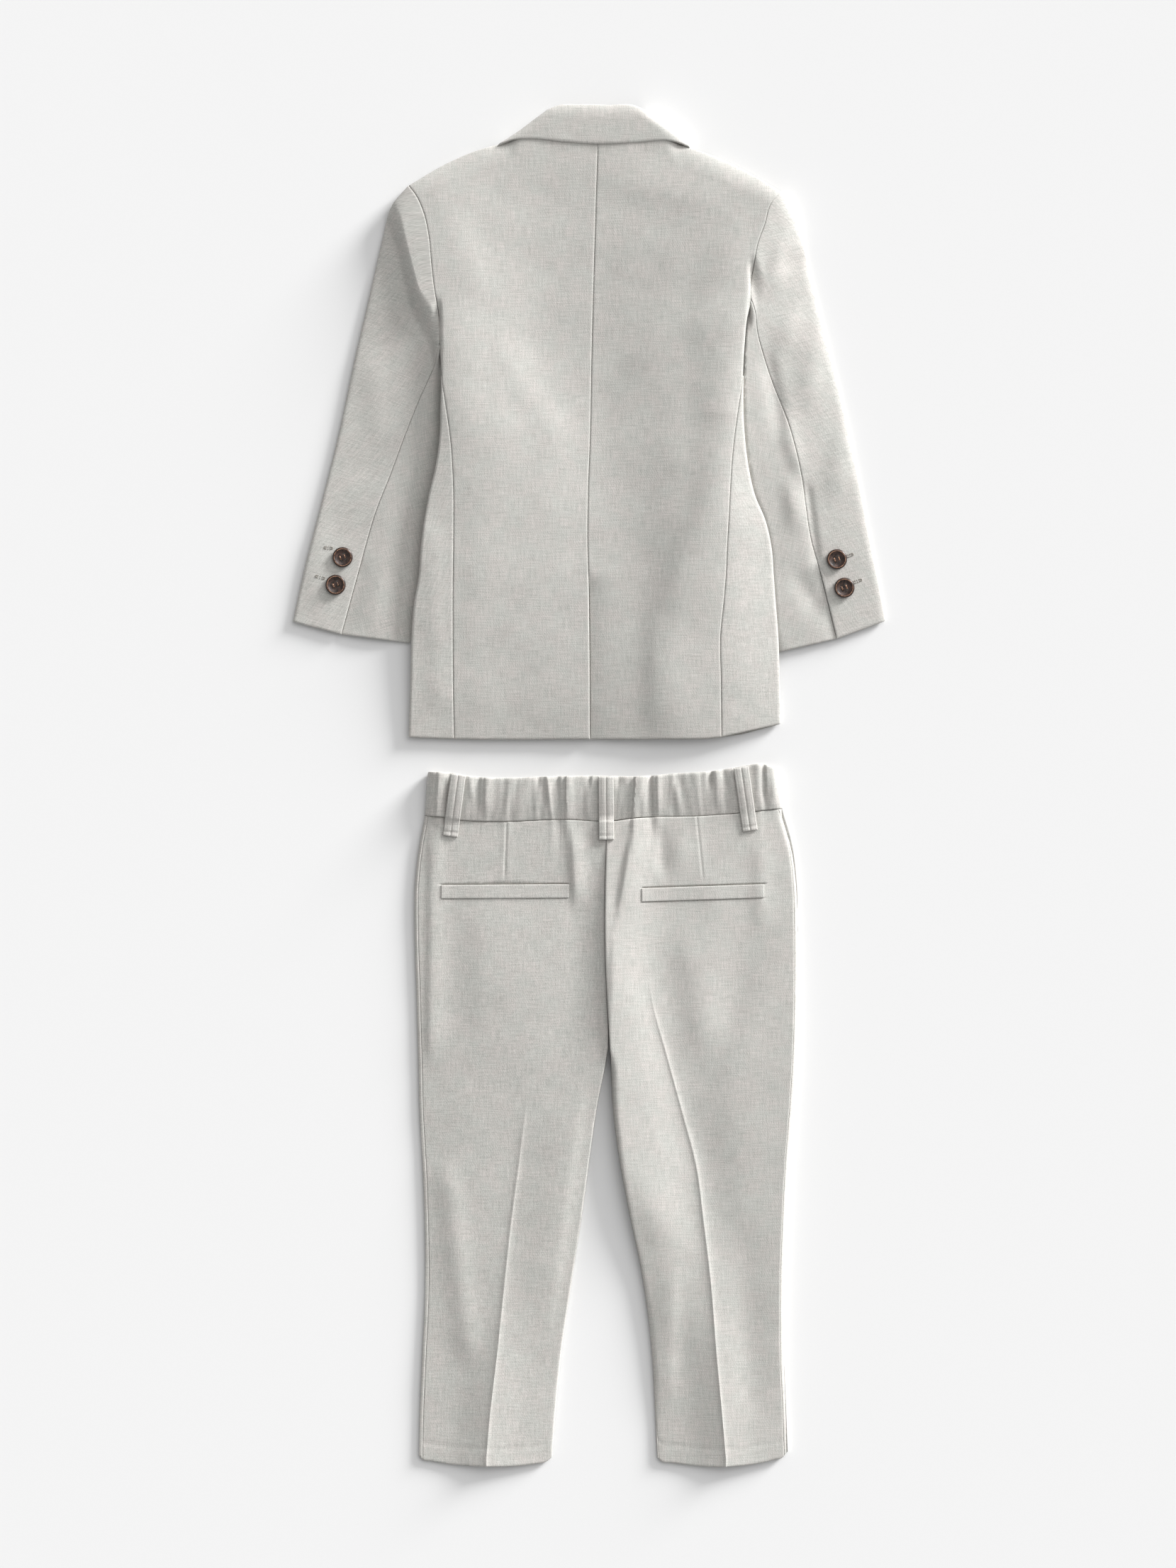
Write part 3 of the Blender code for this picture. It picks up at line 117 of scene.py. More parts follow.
SLEEVES = {
    "left": table(
        SLEEVE_COLUMNS,
        (-124.4, 414.3, -102.9, 306.0, -76.0, 292.0),
        (-136.6, 399.0, -105.2, 297.0, -72.0, 280.0),
        (-142.4, 377.5, -107.5, 288.0, -68.0, 268.0),
        (-151.9, 336.5, -117.0, 267.0, -69.0, 243.0),
        (-161.9, 293.5, -127.5, 241.0, -75.0, 216.0),
        (-173.4, 240.0, -137.5, 214.0, -83.0, 190.0),
        (-184.4, 196.4, -148.0, 187.0, -93.0, 162.0),
        (-195.6, 153.5, -158.8, 149.0, -106.5, 129.5),
        (-204.2, 114.0, -170.8, 105.2, -123.7, 99.3)),
    "right": table(
        SLEEVE_COLUMNS,
        (133.0, 409.7, 111.6, 336.0, 80.0, 312.0),
        (144.0, 385.8, 114.6, 326.0, 74.0, 290.0),
        (153.0, 349.0, 116.7, 309.5, 72.0, 266.0),
        (165.9, 297.9, 125.4, 281.3, 74.0, 243.0),
        (175.5, 259.0, 138.1, 248.1, 83.0, 217.0),
        (184.5, 217.0, 146.5, 214.0, 93.0, 187.0),
        (192.5, 175.0, 152.5, 173.5, 104.0, 152.0),
        (199.0, 142.0, 160.0, 146.0, 115.0, 126.0),
        (204.2, 114.5, 170.8, 102.2, 130.8, 93.0))}
BACK_ARMHOLE = {
    "left": ((-124.4, 414.3), (-119.1, 407.2), (-113.8, 395.3), (-110.3, 379.4),
             (-108.5, 360.9), (-106.4, 342.4), (-103.6, 327.0)),
    "right": ((133.0, 409.7), (125.4, 401.9), (120.8, 387.2), (116.1, 374.0),
              (113.7, 360.9), (111.8, 349.0))}
FRONT_ARMHOLE = {
    "left": ((-124.4, 414.3), (-112.0, 402.0), (-100.0, 380.0), (-90.0, 350.0),
             (-82.5, 322.0)),
    "right": ((133.0, 409.7), (121.0, 398.0), (109.0, 376.0), (99.0, 350.0),
              (90.0, 333.0))}
UNDERARM = {"left": (-79.0, 303.0), "right": (85.0, 324.0)}
SIDE_TOP = 283.0        # level at which the side seams come into view
BELOW_ARMHOLE = {       # the back's edge from the armhole to where its side seam shows
    "left": ((-102.9, 306.0), (-102.2, 294.0)),
    "right": ((111.6, 336.0), (109.2, 324.0), (107.3, 305.0))}
BACK_SHOULDER = {
    "left": ((-98.0, 429.7), (-80.0, 437.6), (-68.0, 441.4), (-58.0, 444.0),
             (-46.0, 449.5), (-20.0, 450.6)),
    "right": ((97.6, 429.6), (82.0, 436.2), (74.0, 439.0), (64.0, 442.2),
              (50.0, 449.5), (26.0, 450.6))}
FRONT_SHOULDER = {
    "left": ((-98.0, 429.0), (-77.0, 436.0), (-63.0, 435.0), (-51.0, 440.0)),
    "right": ((98.0, 428.5), (82.0, 434.0), (70.0, 432.5), (57.0, 439.5))}
NECK_TOP = 450.5
CENTRE_MIDDLE = 290.0
HEM_LEVEL = 33.0
UNDER_SEAM_HEM = {"left": -99.0, "right": 106.0}
HEM = table(
    "x y",
    (-125, 34.4), (-93, 33.2), (0, 33.0), (48, 33.0), (87, 33.9),
    (105, 36.4), (117, 38.3), (127.4, 41.0), (133, 43.9))

COLLAR_ROLL = ((-28.5, 466.6), (-21.0, 469.3), (-6.1, 469.9), (14.0, 469.5),
               (31.3, 469.2), (38.8, 466.0))
COLLAR_FREE = ((-63.0, 442.3), (-52.0, 445.3), (-39.5, 445.8), (-18.5, 443.9),
               (5.8, 442.3), (31.2, 443.2), (56.2, 444.4), (69.9, 440.8))
COLLAR_SIDES = {
    "left": ((-28.5, 466.6), (-36.1, 460.9), (-49.8, 450.7), (-63.0, 442.3)),
    "right": ((38.8, 466.0), (46.4, 459.2), (56.2, 452.2), (69.9, 440.8))}
COLLAR_ENDS = {
    "left": ((-32.0, 418.0), (-71.0, 400.0)),
    "right": ((41.0, 418.0), (78.0, 399.0))}
LAPELS = {
    "left": (((-32.0, 417.2), (-21.0, 330.0), (-8.0, 226.0), (-1.0, 172.0)),
             ((-66.0, 399.0), (-70.0, 384.0), (-54.0, 320.0), (-26.0, 224.0),
              (-7.0, 172.0))),
    "right": (((41.0, 417.2), (29.0, 330.0), (15.0, 226.0), (8.0, 178.0)),
              ((73.0, 398.0), (77.0, 383.0), (61.0, 320.0), (33.0, 224.0),
               (14.0, 178.0)))}
FRONT_INNER = {
    "left": ((-42.0, 428.0), (-32.5, 410.0), (-21.5, 330.0),
             (-8.0, 226.0), (6.0, 172.0), (16.0, 152.0), (16.0, 90.0),
             (14.0, 33.0)),
    "right": ((51.0, 428.0), (41.5, 410.0), (29.5, 330.0),
              (15.0, 226.0), (0.0, 172.0), (-10.0, 152.0), (-10.0, 90.0),
              (-8.0, 33.0))}
SLEEVE_BUTTONS = {
    "left": ((-169.8, 158.4), (-174.6, 139.4)),
    "right": ((170.7, 157.0), (175.9, 137.4))}
FRONT_BUTTONS = ((3.0, 150.0), (3.0, 92.0))
BUTTONHOLES = (         # the sewn ones beside the sleeve buttons, end to end
    ("left_1", (-183.0, 165.2), (-176.2, 164.7)),
    ("left_2", (-188.9, 145.7), (-181.6, 143.7)),
    ("right_1", (177.1, 158.8), (182.5, 160.8)),
    ("right_2", (181.5, 140.8), (188.4, 143.2)))

# ---- lines of the trousers ------------------------------------------------------

TROUSERS = table(
    "y left left_crease left_in right_in right_crease right",
    (-20, -113.2, -20.0, 12.2, 12.2, 40.0, 132.9),
    (-45, -117.7, -20.0, 11.7, 11.7, 40.0, 139.9),
    (-68, -120.0, -20.0, 11.2, 11.2, 40.0, 142.8),
    (-100, -120.2, -19.5, 11.1, 11.1, 40.0, 143.8),
    (-140, -119.0, -22.5, 12.1, 12.1, 42.0, 143.9),
    (-186, -117.7, -39.6, 12.7, 14.5, 53.8, 142.9),
    (-225, -116.7, -44.2, 5.7, 16.2, 64.5, 140.5),
    (-260, -114.7, -48.5, 0.8, 20.2, 73.6, 137.7),
    (-300, -113.2, -53.7, -4.5, 27.3, 79.0, 135.6),
    (-345, -112.9, -58.6, -11.6, 36.9, 84.2, 134.1),
    (-390, -114.9, -63.3, -18.6, 43.0, 87.7, 134.2),
    (-430, -116.6, -68.0, -22.9, 45.4, 91.4, 135.8),
    (-462, -117.2, -70.8, -25.5, 47.0, 94.2, 136.9))
BAND_TOP = table(
    "x y",
    (-111.2, 10.8), (-95, 10.0), (-84, 8.0), (-67, 6.7), (-30, 7.5), (7, 8.0),
    (32, 7.6), (63, 9.9), (82, 11.0), (101, 13.8), (119.5, 16.1), (129.7, 13.2))
BAND_SEAM = table(
    "x y",
    (-113.2, -19.6), (-100, -20.9), (-88, -22.8), (-71, -23.7), (-15, -22.4),
    (17, -23.3), (30, -21.6), (45, -20.6), (73, -20.0), (101, -18.1),
    (119.5, -16.2), (133.6, -14.8))
LEG_HEM = table(
    "x y",
    (-118.5, -459.5), (-115.5, -463.0), (-108, -464.8), (-73, -468.0), (-36, -466.3),
    (-29.5, -465.0), (-25.5, -462.0), (46.5, -461.5), (49.5, -464.6), (57, -465.8),
    (94.5, -468.2), (127, -463.8), (134, -461.6), (137.5, -457.5))
BELT_LOOPS = table(
    "top_x top_y foot_x foot_y",
    (-89.9, 8.8, -95.6, -34.0),
    (11.6, 7.4, 12.0, -36.3),
    (104.5, 13.8, 111.0, -30.2))
WELTS = {
    "left": ((-101.9, -67.4), (-14.1, -66.8), 9.4),
    "right": ((36.2, -69.6), (120.6, -66.8), 9.3)}

# ---- how the cloth lies -------------------------------------------------------

# Heights of the jacket's back, level by level: at its left edge and side
# seam, at places across the back, and at its right side seam and edge.
BACK_LIE = table(
    "y c0 c1 c2 c3 c4 c5 c6 c7 c8",
    (452, 11.5, 11.5, 11.3, 11.2, 11.2, 11.3, 11.5, 11.5, 11.5),
    (405, 13.2, 13.0, 11.6, 10.2, 10.4, 11.0, 12.3, 13.4, 13.4),
    (370, 13.8, 13.7, 11.4, 9.6, 9.8, 11.0, 12.9, 14.2, 14.0),
    (335, 14.2, 14.2, 12.0, 9.0, 9.2, 10.7, 12.9, 14.4, 14.0),
    (300, 14.6, 14.8, 12.8, 8.9, 8.8, 10.5, 12.9, 14.6, 13.9),
    (265, 14.6, 15.1, 14.2, 10.4, 8.7, 10.5, 13.3, 14.9, 13.7),
    (230, 13.9, 14.6, 14.5, 12.2, 9.3, 11.0, 14.5, 15.6, 12.9),
    (195, 12.8, 13.2, 13.0, 12.0, 10.0, 11.2, 14.6, 15.9, 10.2),
    (150, 12.0, 12.0, 11.3, 10.8, 10.2, 10.9, 14.5, 14.9, 7.6),
    (100, 9.0, 8.9, 8.8, 9.3, 9.9, 10.7, 13.4, 12.5, 5.9),
    (60, 7.0, 6.9, 7.0, 7.8, 8.6, 9.7, 11.5, 10.0, 4.4),
    (33, 5.2, 5.0, 5.0, 5.6, 6.3, 7.3, 8.4, 7.2, 3.2))
BACK_PLACES = (-65.0, -33.0, 0.0, 33.0, 65.0)
# Heights of the legs' upper side: at the outer edge, halfway, at the crease,
# halfway and at the inner edge (the centre seam above the crotch).
LEG_LIE = {
    "left": table(
        "y c0 c1 c2 c3 c4",
        (-20, 4.6, 6.2, 7.0, 7.4, 8.0),
        (-70, 3.8, 5.6, 6.8, 7.0, 8.8),
        (-120, 3.4, 5.6, 7.8, 7.6, 9.8),
        (-180, 3.1, 5.5, 7.5, 7.9, 9.8),
        (-260, 2.9, 5.2, 6.7, 7.8, 8.6),
        (-350, 2.7, 4.8, 6.3, 7.0, 7.2),
        (-400, 2.9, 4.2, 6.6, 5.8, 5.0),
        (-462, 2.6, 3.6, 6.2, 4.2, 2.8)),
    "right": table(
        "y c0 c1 c2 c3 c4",
        (-20, 6.0, 7.2, 7.6, 8.6, 8.0),
        (-70, 6.0, 6.9, 8.0, 9.8, 11.2),
        (-120, 6.4, 6.2, 7.8, 10.4, 12.6),
        (-180, 7.6, 6.8, 6.2, 9.8, 12.4),
        (-260, 8.0, 6.6, 4.2, 8.0, 11.0),
        (-350, 7.4, 6.2, 6.4, 6.6, 5.2),
        (-400, 6.0, 5.6, 7.2, 4.8, 3.8),
        (-462, 3.6, 4.6, 6.2, 3.6, 2.8))}

# ---- folds --------------------------------------------------------------------

# A soft ridge (a trough below zero) along a line from x0 y0 to x1 y1.  East is
# its half-width to the left of that way, which is +X where the line runs down.
FOLD_COLUMNS = "x0 y0 x1 y1 east west height"
JACKET_FOLDS = table(
    FOLD_COLUMNS,
    (92, 222, 46, 104, 18, 11, 1.5),        # crest above the right hem
    (47, 126, 47, 30, 17, 9, 1.5),
    (24, 284, 92, 336, 10, 12, 1.2),        # streak beneath the right blade
    (96, 396, 50, 296, 16, 18, -0.5),
    (-76, 220, -75, 40, 20, 15, 0.7),       # beside the left side seam
    (-8, 162, -66, 98, 8, 8, 0.6),
    (-62, 306, -18, 230, 12, 11, 0.8),
    (-96, 396, -72, 334, 11, 11, 0.6),
    (10, 422, 90, 400, 14, 12, 0.7),        # across the yoke
    (-86, 406, -8, 397, 14, 14, -0.4),
    (-108, 180, -104, 52, 8, 8, 0.5))
SLEEVE_FOLDS = table(
    FOLD_COLUMNS,
    (138, 392, 122, 340, 9, 6, 1.76),        # right sleeve
    (152, 372, 130, 352, 7, 6, -1.28),
    (146, 330, 128, 300, 7, 8, 1.44),
    (158, 318, 150, 262, 8, 9, 1.44),
    (122, 300, 134, 240, 5, 6, -1.6),
    (131, 262, 146, 212, 7, 5, 1.28),
    (176, 250, 168, 196, 9, 8, 1.12),
    (138, 214, 142, 176, 8, 6, 1.92),
    (150, 210, 158, 150, 3, 4, -1.12),
    (140, 152, 164, 112, 7, 8, -1.44),
    (-128, 396, -131, 340, 9, 8, 0.9),       # left sleeve
    (-122, 334, -152, 292, 9, 9, -0.7),
    (-150, 306, -144, 232, 11, 11, 0.7),
    (-130, 240, -164, 212, 7, 7, -0.6),
    (-136, 212, -172, 192, 7, 7, 0.5),
    (-144, 182, -174, 168, 6, 6, -0.5),
    (-184, 186, -193, 124, 8, 9, 0.6),
    (-138, 156, -154, 110, 8, 8, 0.9))
TROUSER_FOLDS = table(
    FOLD_COLUMNS,
    (-108.2, -22, -110, -190, 9, 2.6, 1.1),  # bright ridge along the left edge
    (-72, -74, -70, -190, 30, 15, 1.5),
    (-99, -256, -82, -400, 9, 9, 1.2),
    (-11.5, -26, -9.0, -84, 8, 3.2, 2.0),   # pleat by the left welt's end
    (-5, -196, -31, -380, 6, 22, 1.1),      # inner edge of the left leg
    (31.5, -22, 19, -96, 14, 2.2, 2.2),     # the long pleat right of the centre
    (17.5, -92, 15.5, -176, 20, 3.0, 1.4),
    (66, -24, 60, -66, 14, 7, 1.2),
    (88, -60, 84, -130, 16, 12, 0.7),
    (48, -24, 51, -62, 5, 4, -0.9),
    (64, -88, 84, -196, 14, 12, 1.2),
    (112, -110, 80, -206, 11, 14, -1.1),
    (30, -258, 56, -322, 14, 12, 1.2),
    (57, -325, 54, -430, 6, 14, 1.1),
    (118, -36, 118, -100, 7, 6, 0.8),
    (104, -300, 112, -430, 12, 10, -0.6))
# The waistband's gathers: x at the top edge and at the seam, half-widths to
# both sides, height and how far down the band they reach.
GATHERS = table(
    "top seam east west height reach",
    (-104.0, -105.2, 6.0, 1.0, 1.3, 1.0), (-95.6, -98.6, 1.8, 2.4, -1.2, 1.0),
    (-82.0, -79.0, 3.4, 2.6, 0.7, 0.6), (-75.6, -76.5, 1.3, 5.4, -1.0, 0.8),
    (-71.3, -72.4, 6.4, 1.0, 1.1, 0.85), (-34.6, -34.0, 1.6, 2.2, -0.7, 0.32),
    (-32.4, -29.8, 1.6, 3.4, -0.6, 0.7), (-29.0, -25.6, 2.2, 1.7, 0.9, 1.0),
    (-21.4, -20.2, 1.3, 4.2, -0.9, 1.0), (-15.6, -15.8, 6.2, 0.9, 1.5, 1.0),
    (1.0, -0.6, 0.9, 3.0, -0.9, 0.3), (20.4, 20.6, 3.4, 1.8, -0.9, 0.3),
    (32.2, 30.2, 9.5, 0.9, 1.9, 1.0), (42.8, 43.4, 1.1, 3.6, -1.5, 1.0),
    (47.0, 47.4, 3.2, 1.5, 0.9, 1.0), (60.6, 63.2, 3.4, 3.4, -0.6, 0.4),
    (74.5, 74.0, 6.0, 6.0, 0.35, 1.0), (84.0, 83.4, 1.1, 2.8, -1.6, 0.42),
    (87.2, 88.6, 4.6, 1.8, 0.8, 0.9), (92.0, 97.4, 2.8, 2.8, -0.6, 0.55),
    (116.0, 118.2, 2.4, 4.4, 0.8, 1.0), (120.2, 121.6, 1.2, 3.0, -1.3, 0.9),
    (-52.0, -55.0, 9.0, 9.0, 0.35, 1.0))
# Crinkles between the gathers: length, lean, height, and length of their patches.
BAND_CRINKLES = ((7.3, 2.2, 0.15, 31.0), (4.7, -1.6, 0.08, 19.0), (11.9, 3.2, 0.22, 53.0))
# The darts below the waistband.
DARTS = table(
    "x0 y0 x1 y1 deep",
    (-56.8, -23.0, -58.3, -67.5, 0.45),
    (74.2, -20.5, 79.0, -68.0, 0.32))
DART_HALF = 0.8

# Slow unevenness of laid cloth: direction in degrees, wavelength, height.
WAVES = ((17, 61, 0.10), (74, 47, 0.08), (128, 83, 0.16), (151, 31, 0.04),
         (48, 23, 0.02), (98, 19, 0.015))


# ---- curves and grids -----------------------------------------------------------

def mix(start, end, share):
    """From start to end by a share."""
    return start + (end - start) * share


def smooth(knots, values, at):
    """A smooth curve through values at rising knots, read at some places."""
    knots = np.asarray(knots, float)
    values = np.asarray(values, float)
    slopes = np.gradient(values, knots)
    at = np.clip(at, knots[0], knots[-1])
    k = np.clip(np.searchsorted(knots, at) - 1, 0, len(knots) - 2)
    width = knots[k + 1] - knots[k]
    s = (at - knots[k]) / width
    start = (1 + 2 * s) * (1 - s) ** 2 * values[k] + s * (1 - s) ** 2 * width * slopes[k]
    end = s * s * (3 - 2 * s) * values[k + 1] + s * s * (s - 1) * width * slopes[k + 1]
    return start + end


def read(source, name, at, key="y"):
    """A column of a table at some places of its key column."""
    way = 1 if source[key][0] < source[key][-1] else -1
    return smooth(source[key][::way], source[name][::way], at)


def y_of(line, x):
    """y at some x of a line that runs from left to right."""
    return read(line, "y", x, key="x")


def shares_of(points):
    """Each point's share of the length of its line."""
    steps = np.linalg.norm(np.diff(points, axis=0), axis=1)
    return np.concatenate([[0.0], np.cumsum(steps)]) / steps.sum()


def outline(points, shares):
    """Points at shares of the length of a smooth line through a few points."""
    points = np.array(points, float)
    knots = shares_of(points)
    return np.stack([smooth(knots, axis, shares) for axis in points.T], axis=-1)


def straight(start, end, shares):
    """Points at shares of a straight line."""
    return mix(np.array(start, float), np.array(end, float), shares[:, None])


def strip(first, last, shares):
    """A grid in plan whose columns lead from one line of points to another."""
    return mix(first[None], last[None], shares[:, None, None])


def patch(left, right, top, bottom):
    """A grid in plan between four edges: columns, rows, xy."""
    u = 0.5 * (shares_of(top) + shares_of(bottom))[:, None, None]
    v = 0.5 * (shares_of(left) + shares_of(right))[None, :, None]
    corners = mix(mix(top[0], top[-1], u), mix(bottom[0], bottom[-1], u), v)
    return mix(left[None], right[None], u) + mix(top[:, None], bottom[:, None], v) - corners


def ease(value, start, end):
    """0 before start and 1 after end, smooth between; either may be larger."""
    s = np.clip((value - start) / (end - start), 0.0, 1.0)
    return s * s * (3 - 2 * s)


def rise(distance, reach):
    """0 at a folded edge and 1 from reach inwards: a quarter of an ellipse."""
    near = np.clip(distance / reach, 0.0, 1.0)
    return np.sqrt(1.0 - (1.0 - near) ** 2)


def spread(length, step=STEP, start=PLAIN, end=None):
    """Shares of a line: even steps, and closer ones near its start and its end.

    The end is like the start unless it is given.
    """
    head = np.array(start)
    tail = length - np.array(end or start)[::-1]
    count = max(2, math.ceil((tail[0] - head[-1]) / step))
    middle = np.linspace(head[-1], tail[0], count + 1)[1:-1]
    return np.concatenate([head, middle, tail]) / length


def from_fold(near, start, count):
    """Shares inwards from a fold: a few close ones, then even ones up to 1."""
    return np.concatenate([near, np.linspace(start, 1.0, count)])


def with_extra(shares, extra, clear):
    """Shares with extra ones, in place of those that lie closer than clear to them."""
    apart = np.abs(shares[:, None] - extra[None]).min(axis=1) > clear
    return np.sort(np.concatenate([shares[apart], extra]))


def drawn_in(grid, sides, gap=HALF_GAP):
    """The grid with the named edges pulled in, by half a seam's gap or more."""
    grid = grid.copy()
    for side in sides.split():
        lines = np.moveaxis(grid, 0 if side in SIDES else 1, 0)
        if side in ("right", "bottom"):
            lines = lines[::-1]
        way = lines[3] - lines[0]
        way = way / np.linalg.norm(way, axis=-1, keepdims=True)
        away = np.linalg.norm(lines - lines[:1], axis=-1, keepdims=True)
        lines += gap * np.maximum(1.0 - away / (6.0 * gap), 0.0) * way
    return grid


def in_plan(x, y):
    """A grid in plan from x and y, either of which may be a row or column."""
    return np.stack(np.broadcast_arrays(x, y), axis=-1)


def raised(grid, heights):
    """A grid in plan with its heights added, or one height for all."""
    heights = np.broadcast_to(heights, grid.shape[:2])
    return np.concatenate([grid, heights[..., None]], axis=-1)


def laid(grid, height, *side):
    """A grid in plan with the height that a function gives for its x and y."""
    return raised(grid, height(*side, grid[..., 0], grid[..., 1]))


def by_line(x0, y0, x1, y1, x, y):
    """A line's length, and how far some places lie along it and to its left."""
    run = math.hypot(x1 - x0, y1 - y0)
    along = ((x - x0) * (x1 - x0) + (y - y0) * (y1 - y0)) / run
    aside = ((y - y0) * (x1 - x0) - (x - x0) * (y1 - y0)) / run
    return run, along, aside


def fold_heights(folds, x, y):
    """The sum of soft ridges and troughs at some places."""
    total = 0.0
    for x0, y0, x1, y1, east, west, height in zip(*folds.values()):
        run, along, aside = by_line(x0, y0, x1, y1, x, y)
        half = np.where(aside > 0, east, west)
        fade = min(0.5 * run, 2.4 * max(east, west))
        ends = ease(along, -0.3 * fade, fade) * ease(along, run + 0.3 * fade, run - fade)
        total = total + height * ends * np.exp(-(aside / half) ** 2)
    return total


def dart_dips(x, y):
    """Grooves of the darts, below zero, between slight swells."""
    total = 0.0
    for x0, y0, x1, y1, deep in zip(*DARTS.values()):
        run, along, aside = by_line(x0, y0, x1, y1, x, y)
        ends = ease(along, -2.0, 0.0) * ease(along, run + 1.0, run - 12.0)
        groove = np.exp(-(aside / DART_HALF) ** 2) * deep
        total = total - ends * (groove - 0.25 * np.exp(-(aside / 3.5) ** 2))
    return total


def wave_heights(x, y):
    """Slow unevenness, a few listed waves that cross."""
    total = 0.0
    for turn, length, height in WAVES:
        turn = math.radians(turn)
        along = x * math.cos(turn) + y * math.sin(turn)
        across = y * math.cos(turn) - x * math.sin(turn)
        bend = 0.35 * length * np.sin(across / (1.7 * length))
        total = total + height * np.sin(2 * math.pi * (along + bend) / length + turn)
    return total


def across_lines(lines, levels, x):
    """A smooth curve across lines that rise in x, through their levels."""
    wide = [right - left for left, right in zip(lines, lines[1:])]
    steps = [right - left for left, right in zip(levels, levels[1:])]
    tilts = [step / w for step, w in zip(steps, wide)]
    slopes = [tilts[0]]
    for k in range(1, len(tilts)):
        slopes.append((wide[k - 1] * tilts[k] + wide[k] * tilts[k - 1])
                      / (wide[k - 1] + wide[k]))
    slopes.append(tilts[-1])
    total = levels[0]
    for k, line in enumerate(lines[:-1]):
        s = np.clip((x - line) / wide[k], 0.0, 1.0)
        bend = s * (1 - s) * ((1 - s) * slopes[k] - s * slopes[k + 1])
        total = total + s * s * (3 - 2 * s) * steps[k] + wide[k] * bend
    return total


def arcs(points, axis):
    """Distance along the grid from its first and from its last line."""
    steps = np.linalg.norm(np.diff(points, axis=axis), axis=-1)
    run = np.cumsum(steps, axis=axis)
    run = np.concatenate([np.zeros_like(np.take(run, [0], axis=axis)), run], axis=axis)
    return run, np.take(run, [-1], axis=axis) - run


# ---- shells -----------------------------------------------------------------------

def normals_of(points, facing):
    """Unit normals of a grid. facing tells which way its first column looks, or
    its middle one where the first is steep."""
    normals = np.cross(np.gradient(points, axis=0), np.gradient(points, axis=1))
    normals /= np.maximum(np.linalg.norm(normals, axis=-1, keepdims=True), 1e-9)
    column = 0 if abs(normals[0, :, 2].sum()) > 0.5 * len(normals[0]) else len(normals) // 2
    if normals[column, :, 2].sum() * facing < 0:
        normals = -normals
    return normals


def rolled(points, rolls):
    """How far each point of the outer face is turned down at the panel's edges."""
    away = dict(zip(("left", "right", "top", "bottom"), arcs(points, 0) + arcs(points, 1)))
    total = np.zeros(points.shape[:2])
    for side, (deep, reach) in rolls.items():
        total = np.maximum(total, deep * (1 - rise(away[side], reach)))
    return total


def grain_of(points, turn, number):
    """Place on the cut cloth: along the weft, along the warp, and a piece's own third."""
    column = len(points) // 2
    from_left = arcs(points, 0)[0]
    sign = 1.0 if points[-1, :, 0].sum() > points[0, :, 0].sum() else -1.0
    weft = points[column, :, 0] + sign * (from_left - from_left[column])
    warp = points[..., 1]
    c, s = math.cos(math.radians(turn)), math.sin(math.radians(turn))
    return np.stack([weft * c + warp * s, warp * c - weft * s,
                     np.full_like(warp, 37.0 * number)], axis=-1)


def build_mesh(name, verts, quads):
    """A smooth mesh from arrays of points, in millimetres, and four-sided faces."""
    mesh = bpy.data.meshes.new(name)
    mesh.vertices.add(len(verts))
    mesh.vertices.foreach_set("co", (verts * MM).astype(np.float32).ravel())
    mesh.loops.add(quads.size)
    mesh.loops.foreach_set("vertex_index", quads.astype(np.int32).ravel())
    mesh.polygons.add(len(quads))
    mesh.polygons.foreach_set("loop_start", np.arange(0, quads.size, 4, dtype=np.int32))
    mesh.polygons.foreach_set("use_smooth", np.ones(len(quads), bool))
    mesh.update(calc_edges=True)
    mesh.validate()
    return mesh


def shell_quads(columns, rows, outwards):
    """Faces of a closed shell: outer grid, inner grid and the rim between."""
    count = columns * rows
    place = np.arange(count).reshape(columns, rows)
    corners = (place[:-1, :-1], place[1:, :-1], place[1:, 1:], place[:-1, 1:])
    outer = np.stack([corner.ravel() for corner in corners], axis=1)
    loop = np.concatenate([place[:-1, 0], place[-1, :-1], place[:0:-1, -1],
                           place[0, :0:-1]])
    after = np.roll(loop, -1)
    rim = np.stack([after, loop, loop + count, after + count], axis=1)
    faces = np.concatenate([outer, outer[:, ::-1] + count, rim])
    return faces if outwards else faces[:, ::-1]


def linked(name, data):
    """A new object for a mesh, light, camera or curve, in the scene."""
    made = bpy.data.objects.new(name, data)
    bpy.context.scene.collection.objects.link(made)
    return made


PIECES = []


def shell(name, points, wall, look="suiting", facing=1, rolls=None, turn=0.0):
    """A cloth piece: a closed thin shell whose outer face is a grid of points.

    rolls gives, for each edge that shows, how far it turns down and over what
    distance.  The piece rides on the suit and stands for the solid of its name,
    which it hides.
    and is declared with the size that its cloth was cut to.
    """
    normals = normals_of(points, facing)
    outer = points - normals * rolled(points, rolls or {})[..., None]
    verts = np.concatenate([outer.reshape(-1, 3), (points - normals * wall).reshape(-1, 3)])
    plan = np.cross(points[1, 1] - points[0, 1], points[0, 2] - points[0, 1])
    outwards = float(np.dot(plan, normals[0, 1])) > 0
    mesh = build_mesh(name, verts, shell_quads(*points.shape[:2], outwards))
    grain = grain_of(points, turn, len(PIECES)).reshape(-1, 3)
    store = mesh.attributes.new("grain", "FLOAT_VECTOR", "POINT")
    store.data.foreach_set("vector", np.tile(grain, (2, 1)).astype(np.float32).ravel())
    mesh.set_sharp_from_angle(angle=SHARP)
    mesh.materials.append(LOOKS[look])
    made = linked(name + "_cloth", mesh)
    declare(made, name)
    PIECES.append(made)


def declare(made, name):
    """The piece rides on the suit, and the solid that it stands for is hidden."""
    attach(made, BODY_NAME)
    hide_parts(name)


# ---- materials ---------------------------------------------------------------------

